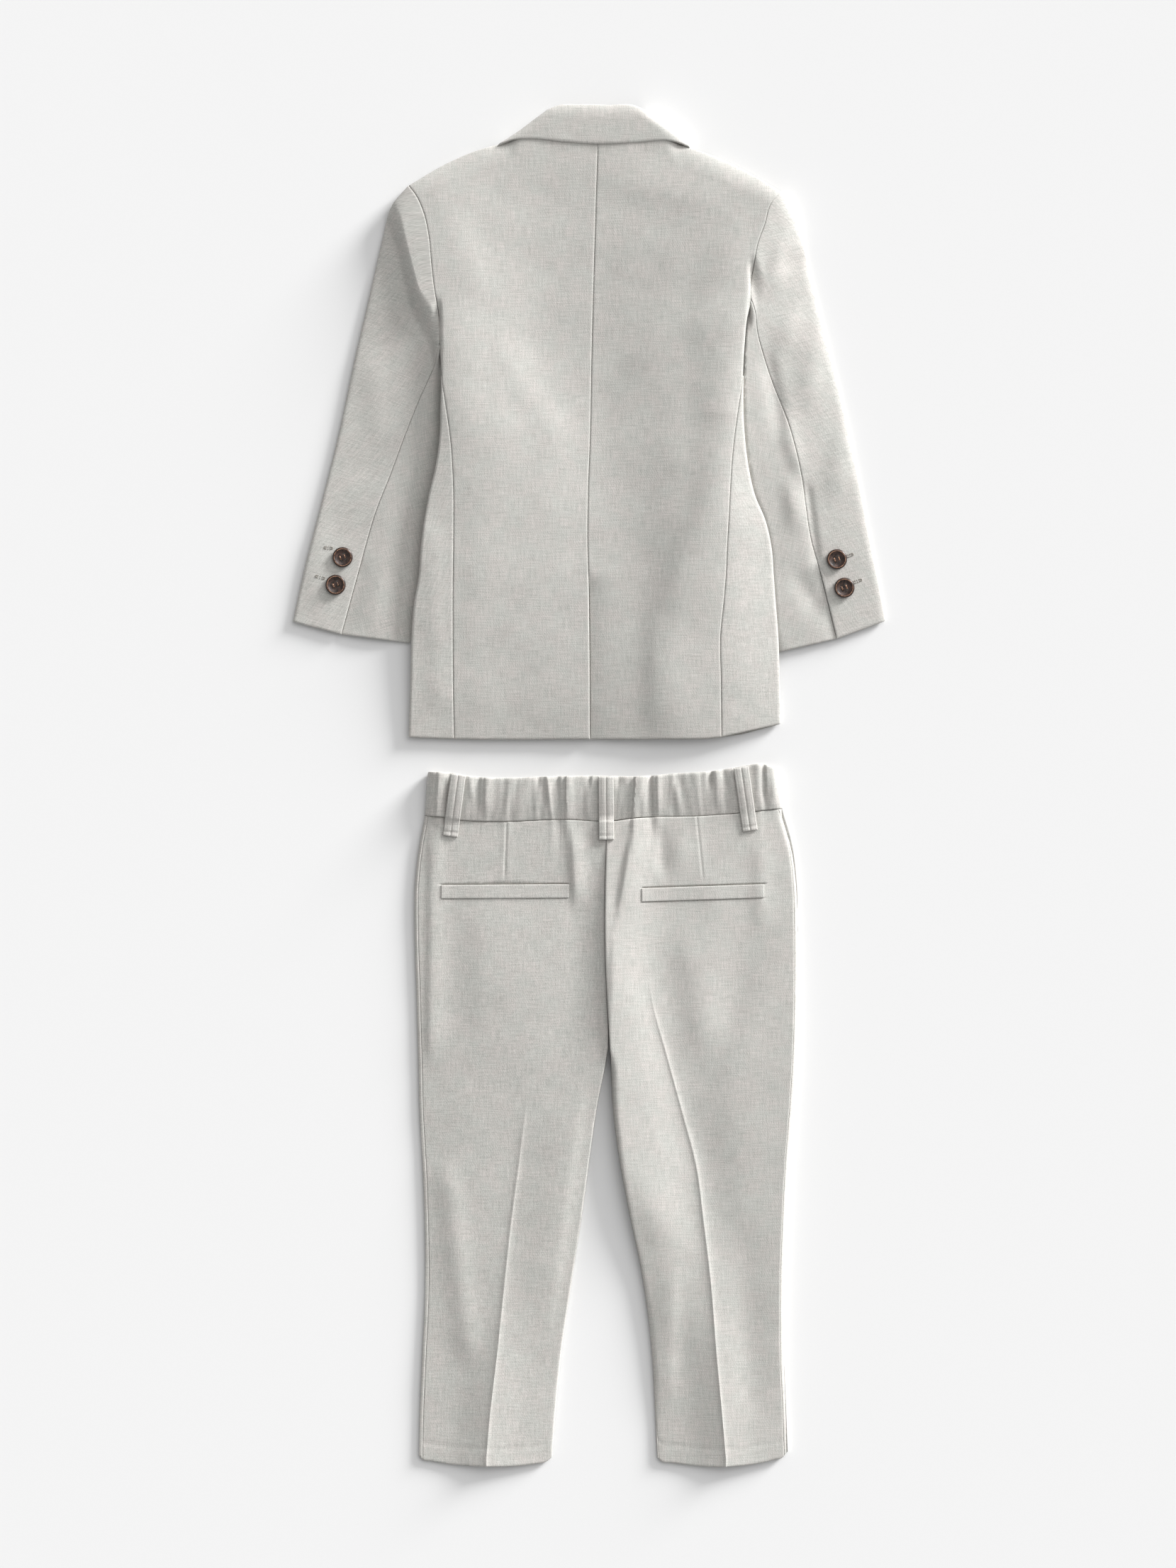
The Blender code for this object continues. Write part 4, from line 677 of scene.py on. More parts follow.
class Nodes:
    """Short calls for building one material's nodes."""

    def __init__(self, name):
        self.material = bpy.data.materials.new(name)
        self.material.use_nodes = True
        self.tree = self.material.node_tree
        self.shader = self.tree.nodes["Principled BSDF"]

    def put(self, socket, value):
        """A value on a socket, or a link from another node's output."""
        if isinstance(value, bpy.types.NodeSocket):
            self.tree.links.new(value, socket)
        else:
            socket.default_value = value

    def add(self, kind, inputs=(), **settings):
        """A new node with its settings and inputs, by place or by name."""
        node = self.tree.nodes.new(kind)
        for key, value in settings.items():
            setattr(node, key, value)
        pairs = inputs.items() if isinstance(inputs, dict) else enumerate(inputs)
        for key, value in pairs:
            self.put(node.inputs[key], value)
        return node

    def grain(self):
        """The place on the cut cloth, in millimetres."""
        return self.add("ShaderNodeAttribute", attribute_name="grain").outputs["Vector"]

    def place(self):
        """The place on the object, in metres."""
        return self.add("ShaderNodeTexCoord").outputs["Object"]

    def math(self, operation, *values):
        return self.add("ShaderNodeMath", values, operation=operation).outputs[0]

    def total(self, base, *terms):
        """A base value and terms on top, each a value and its weight."""
        for value, weight in terms:
            base = self.math("ADD", base, self.math("MULTIPLY", value, weight))
        return base

    def vector(self, operation, *values):
        return self.add("ShaderNodeVectorMath", values, operation=operation).outputs[0]

    def dot(self, vector, direction):
        node = self.add("ShaderNodeVectorMath", (vector, direction),
                        operation="DOT_PRODUCT")
        return node.outputs["Value"]

    def times(self, colour, factor):
        """A colour made lighter or darker by a factor."""
        inputs = {0: colour, "Scale": factor}
        return self.add("ShaderNodeVectorMath", inputs, operation="SCALE").outputs[0]

    def noise(self, vector, scale, detail=2.0, roughness=0.5):
        """Noise from 0 to 1 whose cells are 1 / scale of the vector's units."""
        inputs = {"Vector": vector, "Scale": scale, "Detail": detail,
                  "Roughness": roughness}
        return self.add("ShaderNodeTexNoise", inputs).outputs["Fac"]

    def ramp(self, value, low, high, to_low=0.0, to_high=1.0):
        """A value's range mapped onto another, held at its ends."""
        inputs = (value, low, high, to_low, to_high)
        return self.add("ShaderNodeMapRange", inputs).outputs[0]

    def blend(self, share, first, second):
        """A colour between two."""
        inputs = {"Factor": share, "A": first, "B": second}
        return self.add("ShaderNodeMix", inputs, data_type="RGBA").outputs["Result"]

    def bump(self, height, strength, distance_mm=1.0):
        inputs = {"Height": height, "Strength": strength, "Distance": distance_mm * MM}
        return self.add("ShaderNodeBump", inputs).outputs["Normal"]

    def made(self, **values):
        """The material, with the shader's own sockets set by name, _ for a space."""
        for name, value in values.items():
            self.put(self.shader.inputs[name.replace("_", " ")], value)
        return self.material


STONE = (0.560, 0.545, 0.510, 1.0)
STONE_WARM = (0.580, 0.548, 0.520, 1.0)
STONE_COOL = (0.535, 0.545, 0.510, 1.0)
TWILL_PITCH = 1.4
TWILL_TURN = math.radians(62.0)     # of its lines from the weft, falling to the right


def suiting():
    """Fine twill in mixed stone-grey yarns, slightly slubbed."""
    n = Nodes("stone_twill")
    grain = n.grain()
    across = (math.sin(TWILL_TURN) / TWILL_PITCH, math.cos(TWILL_TURN) / TWILL_PITCH, 0)
    phase = n.total(n.dot(grain, across), (n.noise(grain, 0.16), 1.6))
    twill = n.math("SINE", n.math("MULTIPLY", phase, 2 * math.pi))
    twill = n.math("MULTIPLY", twill, n.ramp(n.noise(grain, 0.11, 3.0), 0.35, 0.65, 0.25))
    warp = n.noise(n.vector("MULTIPLY", grain, (1.25, 0.085, 1.0)), 1.0)
    weft = n.noise(n.vector("MULTIPLY", grain, (0.09, 1.3, 1.0)), 1.0)
    yarns = n.math("ADD", warp, weft)
    fleck = n.noise(grain, 1.5)
    cloud = n.noise(grain, 0.035, 3.0)
    shade = n.total(0.268, (yarns, 0.42), (fleck, 0.55), (twill, 0.030), (cloud, 0.04))
    tint = n.ramp(n.noise(grain, 0.07, 4.0, 0.65), 0.38, 0.62)
    colour = n.blend(n.ramp(yarns, 0.8, 1.2), STONE, STONE_WARM)
    colour = n.blend(n.math("MULTIPLY", tint, 0.6), colour, STONE_COOL)
    weave = n.vector("SINE", n.vector("MULTIPLY", grain, (11.0, 11.0, 0.0)))
    parts = n.add("ShaderNodeSeparateXYZ", (weave,)).outputs
    knots = n.math("MULTIPLY", parts[0], parts[1])
    height = n.total(0.0, (twill, 0.010), (yarns, 0.055), (fleck, 0.035), (knots, 0.006))
    return n.made(Base_Color=n.times(colour, shade), Roughness=0.86,
                  Specular_IOR_Level=0.25, Sheen_Weight=0.22, Sheen_Roughness=0.55,
                  Normal=n.bump(height, 0.75))


def satin():
    """Dark taupe satin of the bow tie."""
    n = Nodes("taupe_satin")
    grain = n.grain()
    yarns = n.noise(n.vector("MULTIPLY", grain, (0.25, 7.0, 1.0)), 1.0)
    shade = n.total(0.7, (n.math("ADD", yarns, n.noise(grain, 0.12)), 0.3))
    return n.made(Base_Color=n.times((0.20, 0.16, 0.13), shade),
                  Roughness=n.ramp(yarns, 0.3, 0.7, 0.34, 0.48),
                  Specular_IOR_Level=0.5, Sheen_Weight=0.3, Sheen_Roughness=0.35,
                  Anisotropic=0.5, Normal=n.bump(yarns, 0.4, 0.12))


def horn():
    """Dark brown mottled button."""
    n = Nodes("brown_horn")
    place = n.place()
    cloud = n.noise(place, 420.0, 4.0, 0.6)
    streak = n.noise(n.vector("MULTIPLY", place, (1.0, 0.35, 1.0)), 900.0, 3.0)
    mottle = n.ramp(n.math("MULTIPLY", cloud, streak), 0.16, 0.36)
    colour = n.blend(mottle, (0.014, 0.008, 0.006, 1.0), (0.075, 0.038, 0.028, 1.0))
    return n.made(Base_Color=colour, Roughness=n.ramp(cloud, 0.3, 0.7, 0.28, 0.42),
                  Specular_IOR_Level=0.5, Coat_Weight=0.25, Coat_Roughness=0.2,
                  Normal=n.bump(cloud, 0.3, 0.05))


def copper():
    """Patchy copper tone: of the buttons' thread, and on a button's lip partly a painted
    highlight.
    """
    n = Nodes("copper_and_painted_highlight")
    patchiness = n.noise(n.place(), 700.0, 3.0, 0.65)
    colour = n.blend(n.ramp(patchiness, 0.35, 0.62), (0.07, 0.035, 0.025, 1.0),
                     (0.48, 0.27, 0.17, 1.0))
    return n.made(Base_Color=colour, Roughness=n.ramp(patchiness, 0.3, 0.7, 0.30, 0.5),
                  Metallic=0.35, Specular_IOR_Level=0.5, Normal=n.bump(patchiness, 0.3, 0.04))


def thread():
    """Stitching thread, a shade off the cloth."""
    n = Nodes("stone_thread")
    twist = n.noise(n.place(), 2600.0)
    shade = n.ramp(twist, 0.3, 0.7, 0.78, 1.08)
    return n.made(Base_Color=n.times((0.36, 0.335, 0.30), shade), Roughness=0.7,
                  Specular_IOR_Level=0.3, Sheen_Weight=0.15, Sheen_Roughness=0.5,
                  Normal=n.bump(twist, 0.5, 0.12))


def floor_paper():
    """Plain pale floor."""
    n = Nodes("pale_floor")
    shade = n.ramp(n.noise(n.place(), 900.0), 0.3, 0.7, 0.99, 1.0)
    return n.made(Base_Color=n.times((0.90, 0.90, 0.90), shade), Roughness=0.9,
                  Specular_IOR_Level=0.1)


LOOKS = {"suiting": suiting(), "satin": satin(), "button": horn(), "copper": copper(),
         "thread": thread(), "floor": floor_paper()}


# ---- heights of the jacket --------------------------------------------------------

BODY_DEPTH = 8.8        # front to back of the jacket's body
FRONT_CLEAR = 2.5       # underside of the fronts above the surface, away from the hem
OVER_SLEEVE = 7.6       # underside of the body where it lies on a sleeve
OVER_CUFF = 2.2         # and how much lower that is near the cuffs
CUFF_LEVELS = (210.0, 140.0)
SHOULDER_MID = 8.0      # height of the shoulder's folded edge
SHOULDER_LEVELS = (400.0, 360.0)    # the shoulder's edge runs out between these
SHOULDER_REACH = 14.0
# Levels between which the body's side edge begins to fold, and those between
# which the sleeve beneath begins and stops to lift it; and how far in it does.
EDGE_STARTS = {"left": (338.0, 316.0), "right": (368.0, 340.0)}
LIFT_STARTS = {"left": (338.0, 312.0), "right": (362.0, 336.0)}
LIFT_ENDS = (60.0, 92.0)
LIFT_REACH = (24.0, 2.0)
TOP_REACH = {"left": 1.4, "right": 2.0}     # the body's side edges, above
UNDER_REACH = {"left": 5.0, "right": 5.0}   # and below
FRONT_LAP = 3.0         # the right front's rise over the left one
LAP_X = (42.0, 25.0)    # it begins between these
LAP_Y = (240.0, 196.0)


def inner_side(side, x, line):
    """Distance from a line towards the garment's middle, in x."""
    return x - line if side == "left" else line - x


def sleeve_x(side, name, y):
    """x of one of a sleeve's lines at a level."""
    source = SLEEVES[side]
    return read({"y": source[name + "_y"], "x": source[name + "_x"]}, "x", y)


def over_sleeve(x, y):
    """How far the body is lifted by the sleeves beneath, 0 to 1."""
    total = 0.0
    for side in SIDES:
        inwards = inner_side(side, x, sleeve_x(side, "fold", y))
        along = ease(y, *LIFT_STARTS[side]) * ease(y, *LIFT_ENDS)
        total = total + ease(inwards, *LIFT_REACH) * along
    return np.clip(total, 0.0, 1.0)


def body_floor(x, y):
    """Height of the body's underside away from its edges."""
    clear = FRONT_CLEAR * ease(y, 40.0, 80.0)
    over = OVER_SLEEVE - OVER_CUFF * ease(y, *CUFF_LEVELS)
    return mix(clear, over, over_sleeve(x, y))


def side_full(x, y, reach):
    """1 on the flat of the body and 0 at its folded side edges."""
    full = 1.0
    for side in SIDES:
        away = np.maximum(inner_side(side, x, read(BODY, side, y)), 0.0)
        folded = ease(y, *EDGE_STARTS[side])
        full = full * (1 - folded * (1 - rise(away, reach[side])))
    return full


def back_lie(x, y):
    """Height at which the jacket's back lies, without its folds."""
    left, right = read(BODY, "left", y), read(BODY, "right", y)
    left_seam = np.minimum(np.maximum(read(BODY, "left_seam", y), left + 4.0), -92.0)
    right_seam = np.minimum(read(BODY, "right_seam", y), right - 4.0)
    lines = [left, left_seam, *BACK_PLACES, right_seam, right]
    return across_lines(lines, [read(BACK_LIE, f"c{k}", y) for k in range(9)], x)


def body_mid(x, y):
    """Height of the body's folded side edge."""
    return np.minimum(body_floor(x, y) + BODY_DEPTH * 0.48, back_lie(x, y) - 1.6)


def body_top(x, y):
    """Height of the body's upper, outer face."""
    high = back_lie(x, y) + fold_heights(JACKET_FOLDS, x, y) + wave_heights(x, y)
    edge = mix(SHOULDER_MID, body_mid(x, y), ease(y, *SHOULDER_LEVELS))
    below = np.maximum(y_of(SHOULDER, x) - y, 0.0) * 0.9
    return mix(edge, high, side_full(x, y, TOP_REACH) * rise(below, SHOULDER_REACH))


def body_under(x, y):
    """Height of the body's lower, outer face; flat out to the shoulders."""
    low = np.minimum(body_floor(x, y), back_lie(x, y) - 2.6)
    return mix(body_mid(x, y), low, side_full(x, y, UNDER_REACH))


def front_under(side, x, y):
    """The front's lower face; the right front lies over the left one."""
    lap = FRONT_LAP * ease(x, *LAP_X) * ease(y, *LAP_Y) if side == "right" else 0.0
    return body_under(x, y) + lap


# ---- the jacket ----------------------------------------------------------------------

VENT_TOP = (150.0, 134.0)
VENT_DROP = 1.9         # the right edge's drop beneath the left at the vent
VENT_REACH = 10.0


def body_line(column, shares):
    """Points down one of the body's lines, from the side seam's top to the hem."""
    y = mix(SIDE_TOP, y_of(HEM, BODY[column][-1]), shares)
    return in_plan(read(BODY, column, y), y)


def under_seam(side, shares):
    """Points down the hidden seam between a side panel and its front."""
    x = UNDER_SEAM_HEM[side]
    return straight(UNDERARM[side], (x, y_of(HEM, x)), shares)


def hem_line(outer, inner, shares):
    """Points along the hem between the lower ends of two lines."""
    x = mix(outer[-1][0], inner[-1][0], shares)
    return in_plan(x, y_of(HEM, x))


def back_panel(side):
    """Half of the back, from the neck and shoulder to the hem."""
    arm = spread(130.0, STEP, FINE, PLAIN)
    down = spread(250.0, STEP, PLAIN, FINE)[1:]
    seam_start = (float(read(BODY, side + "_seam", SIDE_TOP)), SIDE_TOP)
    armhole = outline(BACK_ARMHOLE[side] + BELOW_ARMHOLE[side] + (seam_start,), arm)
    outer = np.concatenate([armhole, body_line(side + "_seam", down)])
    levels = np.concatenate([mix(NECK_TOP, CENTRE_MIDDLE, arm),
                             mix(CENTRE_MIDDLE, HEM_LEVEL, down)])
    centre = in_plan(read(CENTRE, "x", levels), levels)
    shares = spread(100.0, STEP, FINE)
    top = outline((tuple(outer[0]),) + BACK_SHOULDER[side] + (tuple(centre[0]),), shares)
    grid = patch(outer, centre, top, hem_line(outer, centre, shares))
    panel = laid(drawn_in(grid, "right left"), body_top)
    if side == "right":
        beside = np.maximum(panel[..., 0] - read(CENTRE, "x", panel[..., 1]), 0.0)
        drop = VENT_DROP * ease(panel[..., 1], *VENT_TOP)
        panel[..., 2] -= drop * np.exp(-beside / VENT_REACH)
    return panel


def side_panel(side):
    """Wraps the body's edge, from the back's seam to the front's."""
    rows = spread(SIDE_TOP - HEM_LEVEL, STEP, FINE)
    edge = body_line(side, rows)
    upper = strip(body_line(side + "_seam", rows), edge, spread(26.0, 1.1, FINE, ROUND))
    low = from_fold((0.0, 0.004, 0.015, 0.04, 0.08), 0.13, 10)
    lower = drawn_in(strip(edge, under_seam(side, rows), low), "right")
    return np.concatenate([laid(drawn_in(upper, "left top"), body_top),
                           laid(lower, body_under)[1:]])


def front_panel(side):
    """One front, beneath: shoulder, armhole, side seam and front edge."""
    arm = spread(100.0, HIDDEN_STEP)
    down = spread(285.0, HIDDEN_STEP, PLAIN, BENEATH)[1:]
    armhole = outline(FRONT_ARMHOLE[side] + (UNDERARM[side],), arm)
    outer = np.concatenate([armhole, under_seam(side, down)])
    inner = outline(FRONT_SHOULDER[side][-1:] + FRONT_INNER[side], shares_of(outer))
    shares = spread(100.0, HIDDEN_STEP, BENEATH)
    top = outline((tuple(outer[0]),) + FRONT_SHOULDER[side], shares)
    grid = patch(outer, inner, top, hem_line(outer, inner, shares))
    return laid(drawn_in(grid, "left"), front_under, side)


# ---- sleeves ----------------------------------------------------------------------------

FRONT_SEAM_SHARE = 0.75     # of the way from a sleeve's outer edge to its inner fold
FRONT_SEAM_START = 0.72     # of the way round the front armhole
SLEEVE_MID = 2.4            # height of a sleeve's folds
EDGE_REACH = {"left": 1.8, "right": 4.0}
# Height of a sleeve's upper face at its outer edge, beside the body, beneath
# the body's edge, and further in; and the curve from the first to the second.
SLEEVE_LOW = {"left": 3.7, "right": 3.4}
SLEEVE_CURVE = {"left": 0.85, "right": 0.75}
SLEEVE_HIGH = table(
    "y left right",
    (400, 5.6, 10.9), (265, 5.4, 10.7), (230, 5.3, 10.0), (195, 5.2, 8.1),
    (150, 5.0, 5.8), (100, 4.8, 4.4))
SLEEVE_HIDDEN = table(
    "y left right",
    (400, 3.2, 5.6), (195, 2.5, 5.6), (150, 2.4, 4.2), (100, 2.4, 2.6))
SLEEVE_UNDER_BODY = 4.8
SLEEVE_DIP = table(     # over how far it sinks beside the body's edge
    "y left right",
    (400, 3, 1), (280, 6, 1), (235, 12, 1), (205, 24, 1), (100, 26, 1))
# How far below the armhole a sleeve's cap ends and the sleeve reaches its own
# height, at five places from its outer edge to the elbow seam.
CAP = {"left": ((14.0, 22.0, 18.0, 5.0, 1.0), (30.0, 42.0, 38.0, 26.0, 20.0)),
       "right": ((-14.0, -12.0, -9.0, -6.0, -5.0), (46.0, 40.0, 32.0, 24.0, 16.0))}
CUFF_VENT = (0.83, 0.88)    # shares of the sleeve between which its vent opens
CUFF_DROP = 1.1


def from_edges(side, x, outer, inner):
    """Distances in from a sleeve's or leg's outer and inner edges, in x."""
    return (np.maximum(inner_side(side, x, outer), 0.0),
            np.maximum(-inner_side(side, x, inner), 0.0))


def sleeve_full(side, x, y, reach):
    """1 on the flat of a sleeve and 0 at its folded edges."""
    out, into = from_edges(side, x, sleeve_x(side, "outer", y), sleeve_x(side, "fold", y))
    return rise(out * 0.96, reach) * rise(into * 0.93, 8.0)


def sleeve_top(side, x, y):
    """Height of a sleeve's upper face, clear of the armhole."""
    outer = sleeve_x(side, "outer", y)
    body = read(BODY, side, y)
    width = np.maximum(inner_side(side, body, outer), 12.0)
    share = np.clip(inner_side(side, x, outer) / width, 0.0, 1.0)
    height = mix(SLEEVE_LOW[side], read(SLEEVE_HIGH, side, y), share ** SLEEVE_CURVE[side])
    beneath = inner_side(side, x, body)
    dip = ease(beneath, -read(SLEEVE_DIP, side, y), 2.5)
    height = mix(height, read(SLEEVE_HIDDEN, side, y), dip)
    height = mix(height, SLEEVE_UNDER_BODY, ease(beneath, 3.0, 34.0))
    folds = fold_heights(SLEEVE_FOLDS, x, y) + 0.6 * wave_heights(x, y)
    height = height + (1 - dip) * folds
    return mix(SLEEVE_MID, height, sleeve_full(side, x, y, EDGE_REACH[side]))


def sleeve_lines(side, shares):
    """Rows of the sleeve's four lines: outer, elbow, fold, front seam."""
    source = SLEEVES[side]
    knots = np.linspace(0.0, 1.0, len(source["outer_x"]))
    outer, elbow, fold = (
        in_plan(smooth(knots, source[name + "_x"], shares),
                smooth(knots, source[name + "_y"], shares))
        for name in ("outer", "seam", "fold"))
    front = mix(outer, fold, FRONT_SEAM_SHARE)
    start = front_hole(side, fold, np.array([FRONT_SEAM_START]))[0]
    front = front + (start - front[0]) * (1 - shares)[:, None] ** 4
    return outer, elbow, fold, front


def front_hole(side, fold, shares):
    """Points along the front's armhole, down to the sleeve's inner fold."""
    return outline(FRONT_ARMHOLE[side] + (tuple(fold[0]),), shares)


def joined(grid, heights, seam_heights, start, end):
    """Heights that start at the armhole's and settle to the sleeve's own."""
    own = ease(arcs(grid, 1)[0], start, end)
    own = (own - own[:, :1]) / (1 - own[:, :1])
    return mix(seam_heights, heights, own)


def sleeve_beneath(side, lower):
    """The lower face of a sleeve's piece, after the line that its upper face ends on."""
    x, y = lower[..., 0], lower[..., 1]
    own = SLEEVE_MID * (1 - sleeve_full(side, x, y, UNDER_REACH[side]))
    seam = np.minimum(body_under(x[:, :1], y[:, :1]), 2.8)
    return raised(lower, joined(lower, own, seam, -18.0, 30.0))[1:]


def sleeve_turn(side):
    """A sleeve's grain follows its middle line."""
    source = SLEEVES[side]
    dx = source["outer_x"][-1] - source["outer_x"][0]
    dy = source["outer_y"][-1] - source["outer_y"][0]
    return -math.degrees(math.atan2(dx, -dy))


def top_sleeve(side):
    """The sleeve's outer half, from the elbow seam round to the front seam."""
    outer, elbow, fold, front = sleeve_lines(side, spread(315.0, STEP, FINE))
    across = spread(72.0, STEP, BENT, FINE)
    armhole = outline(BACK_ARMHOLE[side] + (tuple(elbow[0]),), across)
    upper = patch(outer, elbow, armhole, straight(outer[-1], elbow[-1], across))
    upper = drawn_in(upper, "right top")
    low = from_fold((0.0, 0.003, 0.01, 0.025, 0.05), 0.09, 16)
    hole = front_hole(side, fold, low * FRONT_SEAM_START)
    hole[-1] = front[0]
    lower = patch(outer, front, hole, straight(outer[-1], front[-1], low))
    lower = drawn_in(drawn_in(lower, "right"), "top", 0.3)
    x, y = upper[..., 0], upper[..., 1]
    places = np.linspace(0.0, 1.0, 5)
    start, end = (smooth(places, row, across)[:, None] for row in CAP[side])
    upper_z = joined(upper, sleeve_top(side, x, y), body_top(x[:, :1], y[:, :1]), start, end)
    return np.concatenate([raised(upper, upper_z)[::-1], sleeve_beneath(side, lower)])


def under_sleeve(side):
    """The sleeve's inner half, from the elbow seam round the inner fold."""
    rows = spread(225.0, STEP, FINE)
    elbow, fold, front = sleeve_lines(side, rows)[1:]
    across = spread(50.0, STEP, FINE, (0.0, 1.0, 2.2, 3.6))
    s = SIGN[side]
    hidden = ((elbow[0][0] - s * 4.0, elbow[0][1] - 11.0),
              (elbow[0][0] - s * 13.0, (elbow[0][1] + fold[0][1]) / 2 - 6.0))
    under_arm = outline((tuple(elbow[0]),) + hidden + (tuple(fold[0]),), across)
    upper = patch(elbow, fold, under_arm, straight(elbow[-1], fold[-1], across))
    upper = drawn_in(drawn_in(upper, "left"), "top", 0.9)
    low = from_fold((0.0, 0.03, 0.09), 0.2, 6)
    hole = front_hole(side, fold, 1 - low * (1 - FRONT_SEAM_START))
    hole[-1] = front[0]
    lower = patch(fold, front, hole, straight(fold[-1], front[-1], low))
    lower = drawn_in(drawn_in(lower, "right"), "top", 0.9)
    x, y = upper[..., 0], upper[..., 1]
    seam = mix(SLEEVE_MID, 7.0, rise(1 - across, 0.2))
    seam = mix(seam, body_top(x[0, 0], y[0, 0]), ease(across, 0.18, 0.04))[:, None]
    start, end = (row[-1] for row in CAP[side])
    upper_z = joined(upper, sleeve_top(side, x, y), seam, start, end)
    vent = CUFF_DROP * ease(rows, *CUFF_VENT)[None]
    upper_z = upper_z - vent * np.exp(-(arcs(upper, 0)[0] / 7.0) ** 1.5)
    return np.concatenate([raised(upper, upper_z), sleeve_beneath(side, lower)])


# ---- collar, lapels and small pieces of the jacket ---------------------------------------

COLLAR_CROWN = 12.9
COLLAR_MID = 9.6


def collar():
    """The fall: over the back's neck and round the sides to its front ends."""
    across = spread(27.0, 0.8, (0.0, 0.2, 0.5, 0.9), FINE)
    shares = spread(110.0, STEP, COLLAR_EDGE)
    left, right = (outline(COLLAR_SIDES[side], across) for side in SIDES)
    top = patch(left, right, outline(COLLAR_ROLL, shares), outline(COLLAR_FREE, shares))
    span = np.linalg.norm(right - left, axis=1)[None]
    near_side = np.minimum(shares, 1 - shares)[:, None] * span
    from_roll = np.linalg.norm(top - top[:, :1], axis=-1)
    full = rise(near_side, 16.0) * (0.2 + 0.8 * rise(from_roll, 11.0))
    waves = 0.4 * wave_heights(top[..., 0] * 1.3, top[..., 1])
    crown = COLLAR_CROWN + waves - 0.5 * across[None] ** 2
    ends = []
    for side, edge in zip(SIDES, (left, right)):
        end = straight(*COLLAR_ENDS[side], across)
        under = strip(edge, end, from_fold((0.0, 0.004, 0.02, 0.06, 0.12), 0.2, 8))
        away = np.linalg.norm(under - under[:1], axis=-1)
        ends.append(raised(under, COLLAR_MID * (1 - rise(away, 6.0)))[1:])
    top = raised(top, mix(COLLAR_MID, crown, full))
    return np.concatenate([ends[0][::-1], top, ends[1]])


def collar_stand():
    """The strip beneath the fall, from the neck seam up to the roll."""
    shares = spread(80.0, 3.0)
    foot = straight((-38.0, 451.6), (45.0, 451.6), shares)
    head = straight((-27.0, 461.5), (35.0, 461.5), shares)
    rows = np.linspace(0.0, 1.0, 6)
    high = FRONT_CLEAR + BODY_DEPTH - 1.2 * (1 - rows[None])
    return raised(strip(head, foot, rows).swapaxes(0, 1), high)


def lapel(side):
    """A lapel, face down, between its roll line and outer edge."""
    inner, outer = (outline(line, spread(245.0, 3.0, TURNED)) for line in LAPELS[side])
    columns = spread(32.0, 2.2, (0.0, 0.5, 1.2, 2.2), TURNED)
    top, foot = (straight(outer[end], inner[end], columns) for end in (0, -1))
    return raised(patch(outer, inner, top, foot), 0.0)


def vent_underlap():
    """The strip of the right back that lies beneath the left at the vent."""
    levels = mix(139.0, 35.0, spread(104.0, 3.0))
    offsets = np.linspace(-20.0, 6.0, 14)[:, None]
    panel = laid(in_plan(read(CENTRE, "x", levels) + offsets, levels), body_top)
    panel[..., 2] -= 1.6 + 2.2 * ease(offsets, -5.0, 0.0)
    return panel


def make_jacket():
    """Every cloth piece of the jacket."""
    for side in SIDES:
        shell("jacket_back_" + side, back_panel(side), CLOTH,
              rolls={"left": SEAM, "right": SEAM, "bottom": SOFT, "top": SEAM})
        shell("jacket_side_" + side, side_panel(side), CLOTH,
              rolls={"left": SEAM, "top": SEAM, "bottom": SOFT})
        shell("jacket_front_" + side, front_panel(side), CLOTH, facing=-1,
              rolls={"right": SEAM, "bottom": SEAM})
        turn = sleeve_turn(side)
        shell("sleeve_top_" + side, top_sleeve(side), CLOTH, turn=turn,
              rolls={"left": SEAM, "top": SEAM, "bottom": SOFT})
        shell("sleeve_under_" + side, under_sleeve(side), CLOTH, turn=turn,
              rolls={"left": SEAM, "bottom": SOFT})
        shell("lapel_" + side, lapel(side), CLOTH, facing=-1,
              rolls={"left": (0.7, 1.8)})
    shell("collar", collar(), COLLAR_WALL, facing=-1, rolls={"bottom": (0.9, 2.2)})
    shell("collar_stand", collar_stand(), TRIM_WALL)
    shell("vent_underlap", vent_underlap(), TRIM_WALL)


# ---- the trousers --------------------------------------------------------------------------

TROUSER_MID = 2.4       # height of the legs' folded edges
LEG_LENGTH = 444.0
LEGS_PART = (-180.0, -200.0)
OUTSEAM = 2.4           # from a leg's outer edge in to its seam
OUTSEAM_COLUMNS = np.array((0.0, 0.1, 0.22, 0.38, 0.56, 0.74, 0.88, 0.95, 0.985, 1.0))
LEG_HALVES = {"left": (80.0, 40.0), "right": (84.0, 34.0)}  # outside and inside the crease
DART_SHARE = {"left": 0.585, "right": 0.61}     # where a dart lies in the outer half
LEG_REACH = {"left": 1.8, "right": 3.5}     # how far in their edges round off
CREASE_START = {"left": -235.0, "right": -150.0}
CREASE_RISE = 1.3
CREASE_HALF = 9.0
CREASE_KNIFE = 0.6      # the pressed line itself, a small sharp ridge
CREASE_KNIFE_HALF = 1.2
GROOVE = 1.3            # the pockets' mouths
LOW_GROOVE = 0.5        # and their welts' lower edges
GROOVE_HALF = 0.55
HEM_STITCHES = 12.3     # above a leg's hem
HEM_DIP = 0.22
HEM_DIP_HALF = 1.3
WAISTBAND_TOP = 8.9
BAND_TILT = 3.8         # its top edge lies higher than its seam
BAND_LONG = 243.0
BAND_DEEP = 31.0
GATHER_DEPTH = 1.15


def leg_rows():
    """Shares down a leg, closer where a pocket's edges lie."""
    levels = np.concatenate([np.arange(-62.5, -71.5, -0.4), np.arange(-73.5, -81.5, -0.4)])
    even = spread(LEG_LENGTH, STEP, FINE)
    return with_extra(even, (levels + 20.0) / -442.0, 0.9 / LEG_LENGTH)


LEG_ROWS = leg_rows()


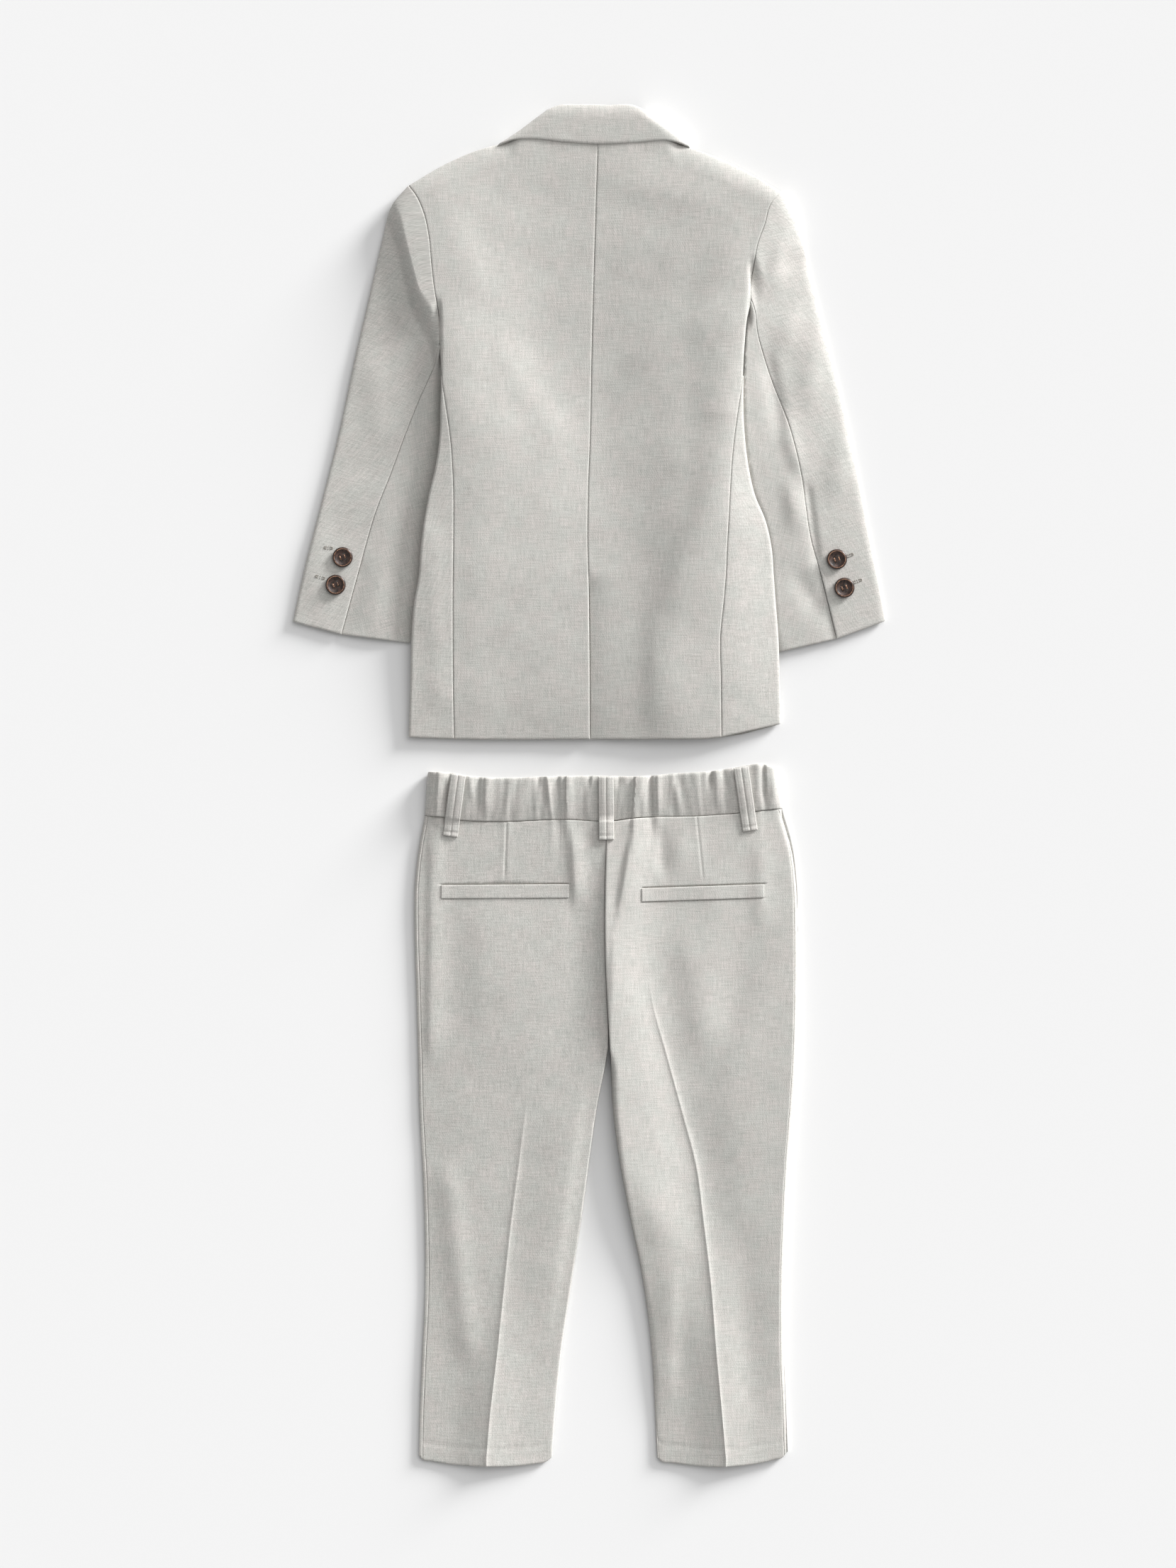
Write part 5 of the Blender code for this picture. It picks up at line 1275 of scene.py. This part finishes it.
def leg_line(column, rows, offset=0.0):
    """x down a leg, at an offset from a column of the table."""
    return read(TROUSERS, column, mix(*TROUSERS["y"][[0, -1]], rows)) + offset


def leg_grid(first, last, shares, rows):
    """A leg's grid in plan, at shares of the way from one line to another."""
    x = mix(first, last, shares[:, None])
    return in_plan(x, mix(y_of(BAND_SEAM, x), y_of(LEG_HEM, x), rows))


def crease_heights(x, y):
    """The pressed creases: soft ridges with a sharp line."""
    total = 0.0
    for side in SIDES:
        away = np.abs(x - read(TROUSERS, side + "_crease", y))
        start = CREASE_START[side]
        knife = CREASE_KNIFE * ease(y, start + 30.0, start - 30.0)
        ridge = CREASE_RISE * ease(y, start - 40.0, start - 160.0)
        total = total + knife * np.exp(-away / CREASE_KNIFE_HALF)
        total = total + ridge * np.exp(-away / CREASE_HALF)
    return total


def mouth_dips(side, x, y):
    """Grooves along a welt's two edges, below zero."""
    start, end, deep = WELTS[side]
    edge = start[1] + (x - start[0]) * (end[1] - start[1]) / (end[0] - start[0])
    ends = ease(x, start[0] - 0.6, start[0] + 0.6) * ease(x, end[0] + 0.6, end[0] - 0.6)
    top = GROOVE * np.exp(-((y - edge - 0.15) / GROOVE_HALF) ** 2)
    low = LOW_GROOVE * np.exp(-((y - edge + deep + 0.2) / GROOVE_HALF) ** 2)
    return -ends * (top + low)


def leg_edges(side, x, y):
    """Distances in from a leg's two edges, and how far the legs are apart, 0 to 1."""
    out, into = from_edges(side, x, read(TROUSERS, side, y), read(TROUSERS, side + "_in", y))
    return out, into, ease(y, *LEGS_PART)


def leg_lie(side, x, y):
    """Height at which a leg's upper side lies, without its folds."""
    outer, crease, inner = (read(TROUSERS, side + end, y) for end in ("", "_crease", "_in"))
    lines = [outer, 0.5 * (outer + crease), crease, 0.5 * (crease + inner), inner]
    return across_lines(lines, [read(LEG_LIE[side], f"c{k}", y) for k in range(5)], x)


def leg_top(side, x, y):
    """Height of a leg's upper face, without its grooves."""
    below = np.maximum(y_of(BAND_SEAM, x) - y, 0.0)
    gathers = 0.62 * np.exp(-(below / 15.0) ** 1.4) * gather_heights(1.0, x)
    high = (leg_lie(side, x, y) + crease_heights(x, y) + gathers
            + fold_heights(TROUSER_FOLDS, x, y) + 0.7 * wave_heights(x + 60.0, y))
    out, into, apart = leg_edges(side, x, y)
    reach = LEG_REACH[side]
    full = rise(out, reach) * (1 - apart * (1 - rise(into, reach)))
    return mix(TROUSER_MID, high, full)


def leg_under(side, x, y):
    """Height of a leg's lower face: round at its edges, then flat."""
    out, into, apart = leg_edges(side, x, y)
    inner = (TROUSER_MID - 0.4) * apart * (1 - rise(into, 4.0))
    return np.maximum(TROUSER_MID * (1 - rise(out, 5.0)), inner)


def leg_back(side):
    """A back leg, from the outseam over the crease to the inner edge."""
    seam = leg_line(side, LEG_ROWS, -SIGN[side] * OUTSEAM)
    crease = leg_line(side + "_crease", LEG_ROWS)
    inner = leg_line(side + "_in", LEG_ROWS)
    outside, inside = LEG_HALVES[side]
    dart = DART_SHARE[side] + np.arange(-3.2, 3.2, 0.5) / outside
    outer_shares = with_extra(spread(outside, STEP, FINE, CREASED), dart, 0.3 / outside)
    inner_shares = spread(inside, STEP, CREASED, (0.0, 0.1, 0.35, 0.8, 1.4))
    grid = np.concatenate([leg_grid(seam, crease, outer_shares, LEG_ROWS),
                           leg_grid(crease, inner, inner_shares, LEG_ROWS)[1:]])
    grid = drawn_in(grid, "left right top")
    x, y = grid[..., 0], grid[..., 1]
    above = y - y_of(LEG_HEM, x) - HEM_STITCHES
    stitched = -HEM_DIP * np.exp(-(above / HEM_DIP_HALF) ** 2)
    return raised(grid, leg_top(side, x, y) + dart_dips(x, y) + mouth_dips(side, x, y)
                  + stitched)


def leg_front(side):
    """A front leg: over the outer edge, then beneath to the inner edge."""
    rows = spread(LEG_LENGTH, 1.8, FINE)
    seam = leg_line(side, rows, -SIGN[side] * OUTSEAM)
    edge = leg_line(side, rows)
    inner = leg_line(side + "_in", rows)
    low = from_fold((0.0, 0.0006, 0.003, 0.009, 0.02, 0.04), 0.07, 22)
    upper = drawn_in(leg_grid(seam, edge, OUTSEAM_COLUMNS, rows), "left top")
    lower = drawn_in(leg_grid(edge, inner, low, rows), "right top")
    return np.concatenate([laid(upper, leg_top, side), laid(lower, leg_under, side)[1:]])


def gather_heights(share, across):
    """Gathers at a share of the way down the band; across is x there."""
    total = 0.0
    for top, seam, east, west, height, reach in zip(*GATHERS.values()):
        aside = across - mix(top, seam, share)
        half = np.where(aside > 0, east, west)
        down = ease(share, reach + 0.12, reach - 0.3) if reach < 1.0 else 1.0
        total = total + height * down * np.exp(-(aside / (0.75 * half)) ** 2)
    return total


def crinkles(share, x):
    """Small uneven crinkles of the gathered cloth between its gathers."""
    total = 0.0
    for length, lean, height, reach in BAND_CRINKLES:
        along = x + lean * np.sin(2.6 * share + x / reach)
        patchy = 0.55 + 0.45 * np.sin(2 * math.pi * x / reach + 1.9 * share)
        total = total + height * patchy * np.sin(2 * math.pi * along / length)
    return total


def band_ends(share):
    """x of a waistband's left and right ends at a share of the way down."""
    return tuple(mix(BAND_TOP["x"][end], BAND_SEAM["x"][end], share) for end in (0, -1))


def band_height(share, x):
    """Height of the back waistband's outer face."""
    left, right = band_ends(share)
    full = rise(np.maximum(x - left, 0), 6.0) * rise(np.maximum(right - x, 0), 6.0)
    puff = 0.7 * np.sin(math.pi * np.clip(share, 0, 1)) ** 0.8 - 0.35
    high = (WAISTBAND_TOP + puff + BAND_TILT * (0.5 - share) + crinkles(share, x)
            + GATHER_DEPTH * gather_heights(share, x) * (1.0 - 0.3 * share ** 2))
    return mix(TROUSER_MID, high, full)


def band_grid(shares, rows):
    """A waistband in plan between its ends."""
    x = mix(*band_ends(rows[None]), shares[:, None])
    return drawn_in(in_plan(x, mix(y_of(BAND_TOP, x), y_of(BAND_SEAM, x), rows)), "bottom")


def waistband_back():
    """The gathered band."""
    rows = spread(BAND_DEEP, 1.0, FINE)
    grid = band_grid(spread(BAND_LONG, 0.8, BAND_EDGE), rows)
    return raised(grid, band_height(rows[None], grid[..., 0]))


def waistband_front():
    """The plain band beneath; its ends turn up to the back band's."""
    shares = spread(BAND_LONG, HIDDEN_STEP, (0.0, 0.1, 0.5, 1.2, 2.4))
    grid = band_grid(shares, spread(BAND_DEEP, 2.0, (0.0, 0.6, 1.4)))
    grid = drawn_in(grid, "top", 0.6)
    away = np.minimum(*arcs(grid, 0))
    return raised(grid, (TROUSER_MID - 0.4) * (1 - rise(away, 4.0)))


def seat_height(x, y):
    """Height of the upper face of band or seat, whichever lies there."""
    top, seam = y_of(BAND_TOP, x), y_of(BAND_SEAM, x)
    share = np.clip((top - y) / (top - seam), 0.0, 1.0)
    seat = np.where(x < TROUSERS["left_in"][0], leg_top("left", x, y),
                    leg_top("right", x, y))
    return np.where(y > seam, band_height(share, x), seat)


LOOP_WIDE = 10.6
LOOP_LIFT = 0.6


def belt_loop(top_x, top_y, foot_x, foot_y):
    """A loop on the back, over the band and down past its seam."""
    way = np.array((foot_x - top_x, foot_y - top_y))
    length = float(np.linalg.norm(way))
    aside = np.array((way[1], -way[0])) / length * LOOP_WIDE / 2
    shares = spread(length, 0.8, FINE[:5])
    centre = straight((top_x, top_y), (foot_x, foot_y), shares)
    across = 1 - 2 * spread(LOOP_WIDE, 0.55, LOOP_EDGE)
    grid = centre[None] + across[:, None, None] * aside
    resting = seat_height(grid[..., 0], grid[..., 1]).max(axis=0)
    evened = np.convolve(np.pad(resting, 4, mode="edge"), np.ones(9) / 9.0, "valid")
    profile = (0.35 * (1 - np.abs(across) ** 3) - 0.40 * np.exp(-(across / 0.09) ** 2)
               - 0.18 * np.exp(-((np.abs(across) - 0.74) / 0.07) ** 2))[:, None]
    arch = LOOP_LIFT * np.sin(math.pi * shares)[None] ** 0.7
    pinch = -0.35 * np.exp(-((shares - 0.93) * length / 0.9) ** 2)[None]
    high = np.maximum(evened, resting)[None]
    return raised(grid, high + 0.25 + TRIM_WALL + arch + profile + pinch)


def welt(side):
    """A welt pocket's strip, set flush in the seat."""
    start, end, deep = WELTS[side]
    run = end[0] - start[0]
    top = straight(start, end, spread(run, STEP, WELT_EDGE))
    rows = spread(deep, 0.7, (0.0, 0.2, 0.45, 0.8))
    grid = strip(top, top - (0.0, deep), rows).swapaxes(0, 1)
    sag = 0.15 * np.sin(math.pi * (grid[..., 0] - start[0]) / run)
    placed = laid(grid, leg_top, side)
    placed[..., 2] += 0.12 + WELT_WALL + sag
    return placed


def fly():
    """The fly's placket, beneath the fronts' centre seam."""
    levels = mix(-24.0, -110.0, spread(86.0, 3.0))
    offsets = np.linspace(-18.0, 0.0, 8)[:, None]
    return raised(in_plan(read(TROUSERS, "left_in", levels) + offsets, levels), 2.2)


def make_trousers():
    """Every cloth piece of the trousers."""
    for side in SIDES:
        shell("leg_back_" + side, leg_back(side), CLOTH,
              rolls={"left": FLAT_SEAM, "right": (0.6, 1.2), "top": SEAM, "bottom": SOFT})
        shell("leg_front_" + side, leg_front(side), CLOTH,
              rolls={"left": FLAT_SEAM, "top": SEAM, "bottom": SOFT})
        shell("welt_" + side, welt(side), WELT_WALL,
              rolls={"left": FLAT_SEAM, "right": FLAT_SEAM,
                     "top": (0.3, 0.8), "bottom": (0.3, 0.8)})
    shell("waistband_back", waistband_back(), BAND_WALL,
          rolls={"top": (1.0, 2.2), "bottom": SEAM})
    shell("waistband_front", waistband_front(), CLOTH, facing=-1,
          rolls={"top": (0.7, 1.6)})
    edges = {"left": (0.6, 0.9), "right": (0.6, 0.9), "top": (0.7, 1.2),
             "bottom": (0.6, 0.9)}
    for count, row in enumerate(zip(*BELT_LOOPS.values()), 1):
        shell(f"belt_loop_{count}", belt_loop(*row), TRIM_WALL, rolls=edges)
    shell("fly", fly(), TRIM_WALL, facing=-1)


# ---- the bow tie ------------------------------------------------------------------------------

BOW_CENTRE = (3.5, 420.0)
BOW = table(
    "out half deep",
    (4.5, 6.0, 5.0), (10.0, 9.5, 5.6), (18.0, 14.0, 5.8), (25.0, 16.0, 5.2),
    (28.0, 15.5, 4.0))
BOW_WALL = 1.0
KNOT = (3.9, 7.0, 3.6)      # its half width, half length and half height
BOW_BAND_WIDE = 7.0
BOW_BAND_WALL = 0.9
BOW_BAND_LOOP = (25.0, 16.0)
BOW_BAND_MIDDLE = 436.0


def bow_wing(side):
    """A wing: one cloth folded into a flat loop, pleated at the knot."""
    s = SIGN[side]
    rows = np.linspace(-1.0, 1.0, 41)
    out = np.linspace(4.5, 28.0, 32)[:, None]
    half = read(BOW, "half", out, key="out")
    grid = in_plan(BOW_CENTRE[0] + s * out, BOW_CENTRE[1] + half * rows)
    deep = read(BOW, "deep", out, key="out") * (0.86 + 0.14 * np.cos(math.pi * rows))
    pleat = 0.5 * np.exp(-(out - 4.5) / 9.0) * np.cos(3.0 * math.pi * rows)
    pleat = np.maximum(pleat, 0.0)
    under, upper = raised(grid, pleat * 0.9), raised(grid, deep - pleat)
    turn = 0.5 * (under[-1:] + upper[-1:]) + (s * 1.2, 0.0, 0.0)
    return np.concatenate([under, turn, upper[::-1]])


def bow_knot():
    """The knot, a band of cloth wrapped once round the wings' roots."""
    around = np.linspace(0.0, 2 * math.pi, 65)[:-1, None] + 0.5
    rows = np.linspace(-1.0, 1.0, 25)[None]
    pinch = 1.0 - 0.10 * (1 - rows ** 2)
    c, s = (np.sign(wave) * np.abs(wave) ** 0.55 for wave in (np.cos(around), np.sin(around)))
    x = BOW_CENTRE[0] + KNOT[0] * pinch * c
    return np.stack(np.broadcast_arrays(x, BOW_CENTRE[1] + KNOT[1] * rows,
                                        KNOT[2] * (1.0 + pinch * s)), axis=-1)


def bow_band():
    """The neck band: a flat strap lying in a loop above the wings."""
    around = np.linspace(0.12 * math.pi, 1.88 * math.pi, 90)
    radius = np.linspace(0.0, BOW_BAND_WIDE, 8)[:, None]
    x = BOW_CENTRE[0] + (BOW_BAND_LOOP[0] - radius) * np.sin(around)
    y = BOW_BAND_MIDDLE - (BOW_BAND_LOOP[1] - radius) * np.cos(around)
    return raised(in_plan(x, y), max(BOW["deep"]) + 0.3 + BOW_BAND_WALL)


def make_bow_tie():
    """The bow tie, which lies beneath the jacket's neck."""
    for side in SIDES:
        shell("bow_wing_" + side, bow_wing(side), BOW_WALL, look="satin", facing=-1,
              rolls={"top": (0.4, 0.9), "bottom": (0.4, 0.9)})
    shell("bow_knot", bow_knot(), BOW_WALL, look="satin", facing=-1)
    shell("bow_band", bow_band(), BOW_BAND_WALL, look="satin")


# ---- buttons and stitches ------------------------------------------------------------------

BUTTON = 14.0
BUTTON_DEEP = 2.4
FRONT_BUTTON = 15.0
FRONT_BUTTON_DEEP = 2.1
BUTTON_TURN = Matrix.Rotation(math.radians(20.0), 4, "Z")
HOLE_AWAY = 1.55        # from a button's middle, along both of its axes
HOLE_RADIUS = 0.95
BUTTON_SEGMENTS = 72
BUTTON_SHARP = math.radians(38.0)   # edges that turn further are shaded sharp
PROFILE = (             # radius as a share of the button's, height as one of its depth
    (0.0, 0.66), (0.30, 0.66), (0.50, 0.68), (0.62, 0.74), (0.70, 0.84), (0.755, 0.95),
    (0.80, 1.0), (0.86, 1.0), (0.91, 0.96), (0.955, 0.86), (0.99, 0.70), (1.0, 0.55),
    (0.985, 0.40), (0.93, 0.22), (0.84, 0.10), (0.70, 0.02), (0.0, 0.0))
PAINTED_HIGHLIGHT_RADII = (0.785, 0.86)     # radii between which the lip's upward faces take the copper tone, partly a painted highlight
THREAD_RADIUS = 0.21
THREAD_SHIFTS = (-0.22, 0.22)
STITCHES = 22           # round a sewn buttonhole
STITCH_RADIUS = 0.2


def lathe(name, profile, segments):
    """A closed mesh turned about Z from (radius, height) points, in millimetres."""
    bm = bmesh.new()
    rings = []
    for radius, height in profile:
        turns = [2 * math.pi * count / segments for count in range(segments)]
        places = [(radius * math.cos(turn), radius * math.sin(turn), height)
                  for turn in (turns if radius else turns[:1])]
        rings.append([bm.verts.new([value * MM for value in place]) for place in places])
    for upper, lower in zip(rings, rings[1:]):
        for count in range(segments):
            after = (count + 1) % segments
            corners = [upper[count % len(upper)], upper[after % len(upper)],
                       lower[after % len(lower)], lower[count % len(lower)]]
            bm.faces.new(list(dict.fromkeys(corners)))
    bmesh.ops.recalc_face_normals(bm, faces=bm.faces[:])
    mesh = bpy.data.meshes.new(name)
    bm.to_mesh(mesh)
    bm.free()
    return mesh


def evaluated_mesh(made):
    """A new mesh of what an object's curve or modifiers make."""
    graph = bpy.context.evaluated_depsgraph_get()
    return bpy.data.meshes.new_from_object(made.evaluated_get(graph))


def cut_holes(made, deep):
    """Four round holes through a button."""
    cutters = []
    for sx, sy in ((-1, -1), (-1, 1), (1, -1), (1, 1)):
        mesh = lathe("cutter", ((0.0, deep + 1.0), (HOLE_RADIUS, deep + 1.0),
                                (HOLE_RADIUS, -1.0), (0.0, -1.0)), 24)
        away = Vector((sx * HOLE_AWAY, sy * HOLE_AWAY, 0.0)) * MM
        mesh.transform(BUTTON_TURN @ Matrix.Translation(away))
        cutters.append(linked("cutter", mesh))
        change = made.modifiers.new("hole", "BOOLEAN")
        change.operation = "DIFFERENCE"
        change.solver = "EXACT"
        change.object = cutters[-1]
    mesh = evaluated_mesh(made)
    made.modifiers.clear()
    made.data = mesh
    for cutter in cutters:
        bpy.data.objects.remove(cutter)


def make_button(name, place, across, deep, face_down=False):
    """A four-hole button with a dish, a lip whose copper tone is partly a painted highlight, and
    its thread.
    """
    radius = across / 2
    profile = [(r * radius, h * deep) for r, h in PROFILE]
    made = linked(name + "_horn", lathe(name, profile, BUTTON_SEGMENTS))
    made.data.materials.append(LOOKS["button"])
    made.data.materials.append(LOOKS["copper"])
    cut_holes(made, deep)
    mesh = made.data
    # The lip's upward faces take the copper look: copper tone that is partly a painted
    # highlight.
    for face in mesh.polygons:
        far = math.hypot(face.center.x, face.center.y) / (radius * MM)
        if PAINTED_HIGHLIGHT_RADII[0] < far < PAINTED_HIGHLIGHT_RADII[1] and face.normal.z > 0.3:
            face.material_index = 1
    mesh.shade_smooth()
    mesh.set_sharp_from_angle(angle=BUTTON_SHARP)
    seat = Matrix.Translation(Vector(place) * MM)
    if face_down:
        turn = Matrix.Translation((0, 0, deep * MM)) @ Matrix.Rotation(math.pi, 4, "X")
        seat = seat @ turn
    mesh.transform(seat)
    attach(made, BODY_NAME)
    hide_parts(name)
    make_button_thread(name, seat, deep)


def tube(name, path, radius):
    """A thin round thread along points in millimetres, as a mesh."""
    curve = bpy.data.curves.new(name, "CURVE")
    curve.dimensions = "3D"
    curve.bevel_depth = radius * MM
    curve.bevel_resolution = 2
    curve.use_fill_caps = True
    line = curve.splines.new("POLY")
    line.points.add(len(path) - 1)
    for point, at in zip(line.points, path):
        point.co = (*(Vector(at) * MM), 1.0)
    made = linked(name, curve)
    mesh = evaluated_mesh(made)
    bpy.data.objects.remove(made)
    mesh.shade_smooth()
    return mesh


def joined_piece(name, meshes, look):
    """Several meshes made into one piece that rides on the suit."""
    bm = bmesh.new()
    for mesh in meshes:
        bm.from_mesh(mesh)
        bpy.data.meshes.remove(mesh)
    whole = bpy.data.meshes.new(name)
    bm.to_mesh(whole)
    bm.free()
    whole.shade_smooth()
    whole.materials.append(LOOKS[look])
    made = linked(name, whole)
    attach(made, BODY_NAME)
    return made


def make_button_thread(name, seat, deep):
    """Two pairs of thread bars, each pair from hole to hole."""
    low = deep * 0.30
    high = deep * 0.66 + 0.30
    half = ((-HOLE_AWAY, low), (-HOLE_AWAY * 0.92, high - 0.1), (-0.5, high))
    line = half + tuple((-y, z) for y, z in half[::-1])
    middles = [sx * HOLE_AWAY + shift for sx in (-1, 1) for shift in THREAD_SHIFTS]
    meshes = [tube("thread", [(x, y, z) for y, z in line], THREAD_RADIUS)
              for x in middles]
    made = joined_piece(name + "_thread", meshes, "copper")
    made.data.transform(seat @ BUTTON_TURN)


def sleeve_surface(side, x, y):
    return float(sleeve_top(side, np.float64(x), np.float64(y)))


def make_buttonhole(name, start, end):
    """A sewn, uncut buttonhole: close stitches round a narrow oval."""
    side = name.split("_")[0]
    start, end = np.array(start), np.array(end)
    length = float(np.linalg.norm(end - start))
    way = (end - start) / length
    aside = np.array((-way[1], way[0]))
    meshes = []
    for number in range(STITCHES):
        turn = 2 * math.pi * (number + 0.5) / STITCHES
        c, s = math.cos(turn), math.sin(turn)
        middle = (start + end) / 2 + way * (length / 2 - 0.5) * np.sign(c) * abs(c) ** 0.6
        middle = middle + aside * 0.75 * np.sign(s) * abs(s) ** 0.5
        out = way * c * 0.55 + aside * s * 0.95
        a, b = middle - out * 0.45, middle + out * 0.45
        za, zb = sleeve_surface(side, *a), sleeve_surface(side, *b)
        path = [(*a, za - 0.1), (*mix(a, b, 0.2), za + 0.22),
                (*mix(a, b, 0.8), zb + 0.22), (*b, zb - 0.1)]
        meshes.append(tube("stitch", path, STITCH_RADIUS))
    made = joined_piece("buttonhole_" + name, meshes, "thread")


def make_buttons():
    """The sleeves' and the front's buttons, and the sewn buttonholes."""
    for side in SIDES:
        for count, (x, y) in enumerate(SLEEVE_BUTTONS[side], 1):
            seat = sleeve_surface(side, x, y) + 0.35
            make_button(f"sleeve_button_{side}_{count}", (x, y, seat), BUTTON, BUTTON_DEEP)
    for name, start, end in BUTTONHOLES:
        make_buttonhole(name, start, end)
    for count, (x, y) in enumerate(FRONT_BUTTONS, 1):
        make_button(f"front_button_{count}", (x, y, 0.0), FRONT_BUTTON,
                    FRONT_BUTTON_DEEP, face_down=True)


# ---- floor, light and camera -----------------------------------------------------------------

FLOOR_HALF = 8.0
FLOOR_DROP = 0.0002     # beneath the suit, in metres
LENS = 135.0
FILM = 36.0
FRAME_TALL = 1.0795     # metres along the picture's long side, at the cloth's height
AIM = (-0.73, 2.2)
CLOTH_HEIGHT = 0.008    # that height, in metres
LIGHTS = (              # turn from +X to +Y, height and width in degrees, strength
    ("low_key", 42.0, 12.5, 20.0, 5.6),
    ("high_key", 48.0, 48.0, 60.0, 1.20))
SKY = 0.345


def make_floor():
    mesh = bpy.data.meshes.new("floor")
    half = FLOOR_HALF
    corners = [(-half, -half, 0), (half, -half, 0), (half, half, 0), (-half, half, 0)]
    mesh.from_pydata(corners, [], [(0, 1, 2, 3)])
    mesh.materials.append(LOOKS["floor"])
    floor = linked("floor", mesh)
    floor.location.z = -FLOOR_DROP


def make_lights():
    """Two broad, far and even soft lights from the upper right."""
    for name, turn, high, soft, power in LIGHTS:
        data = bpy.data.lights.new(name, "SUN")
        data.energy = power
        data.angle = math.radians(soft)
        made = linked(name, data)
        turn, high = math.radians(turn), math.radians(high)
        place = Vector((math.cos(high) * math.cos(turn), math.cos(high) * math.sin(turn),
                        math.sin(high)))
        made.location = place
        made.rotation_euler = (-place).to_track_quat("-Z", "Y").to_euler()


def make_sky():
    world = bpy.data.worlds.new("pale_room")
    world.use_nodes = True
    back = world.node_tree.nodes["Background"]
    back.inputs["Color"].default_value = (1.0, 1.0, 1.0, 1.0)
    back.inputs["Strength"].default_value = SKY
    bpy.context.scene.world = world


def make_camera():
    """Straight above, at the height where the lens takes in the frame."""
    data = bpy.data.cameras.new("camera")
    data.lens = LENS
    data.sensor_width = FILM
    data.clip_end = 40.0
    made = linked("camera", data)
    away = FRAME_TALL * LENS / FILM
    made.location = (AIM[0] * MM, AIM[1] * MM, away + CLOTH_HEIGHT)
    bpy.context.scene.camera = made


make_jacket()
make_trousers()
make_bow_tie()
make_buttons()
make_floor()
make_lights()
make_sky()
make_camera()
bpy.context.scene.view_settings.view_transform = "Standard"
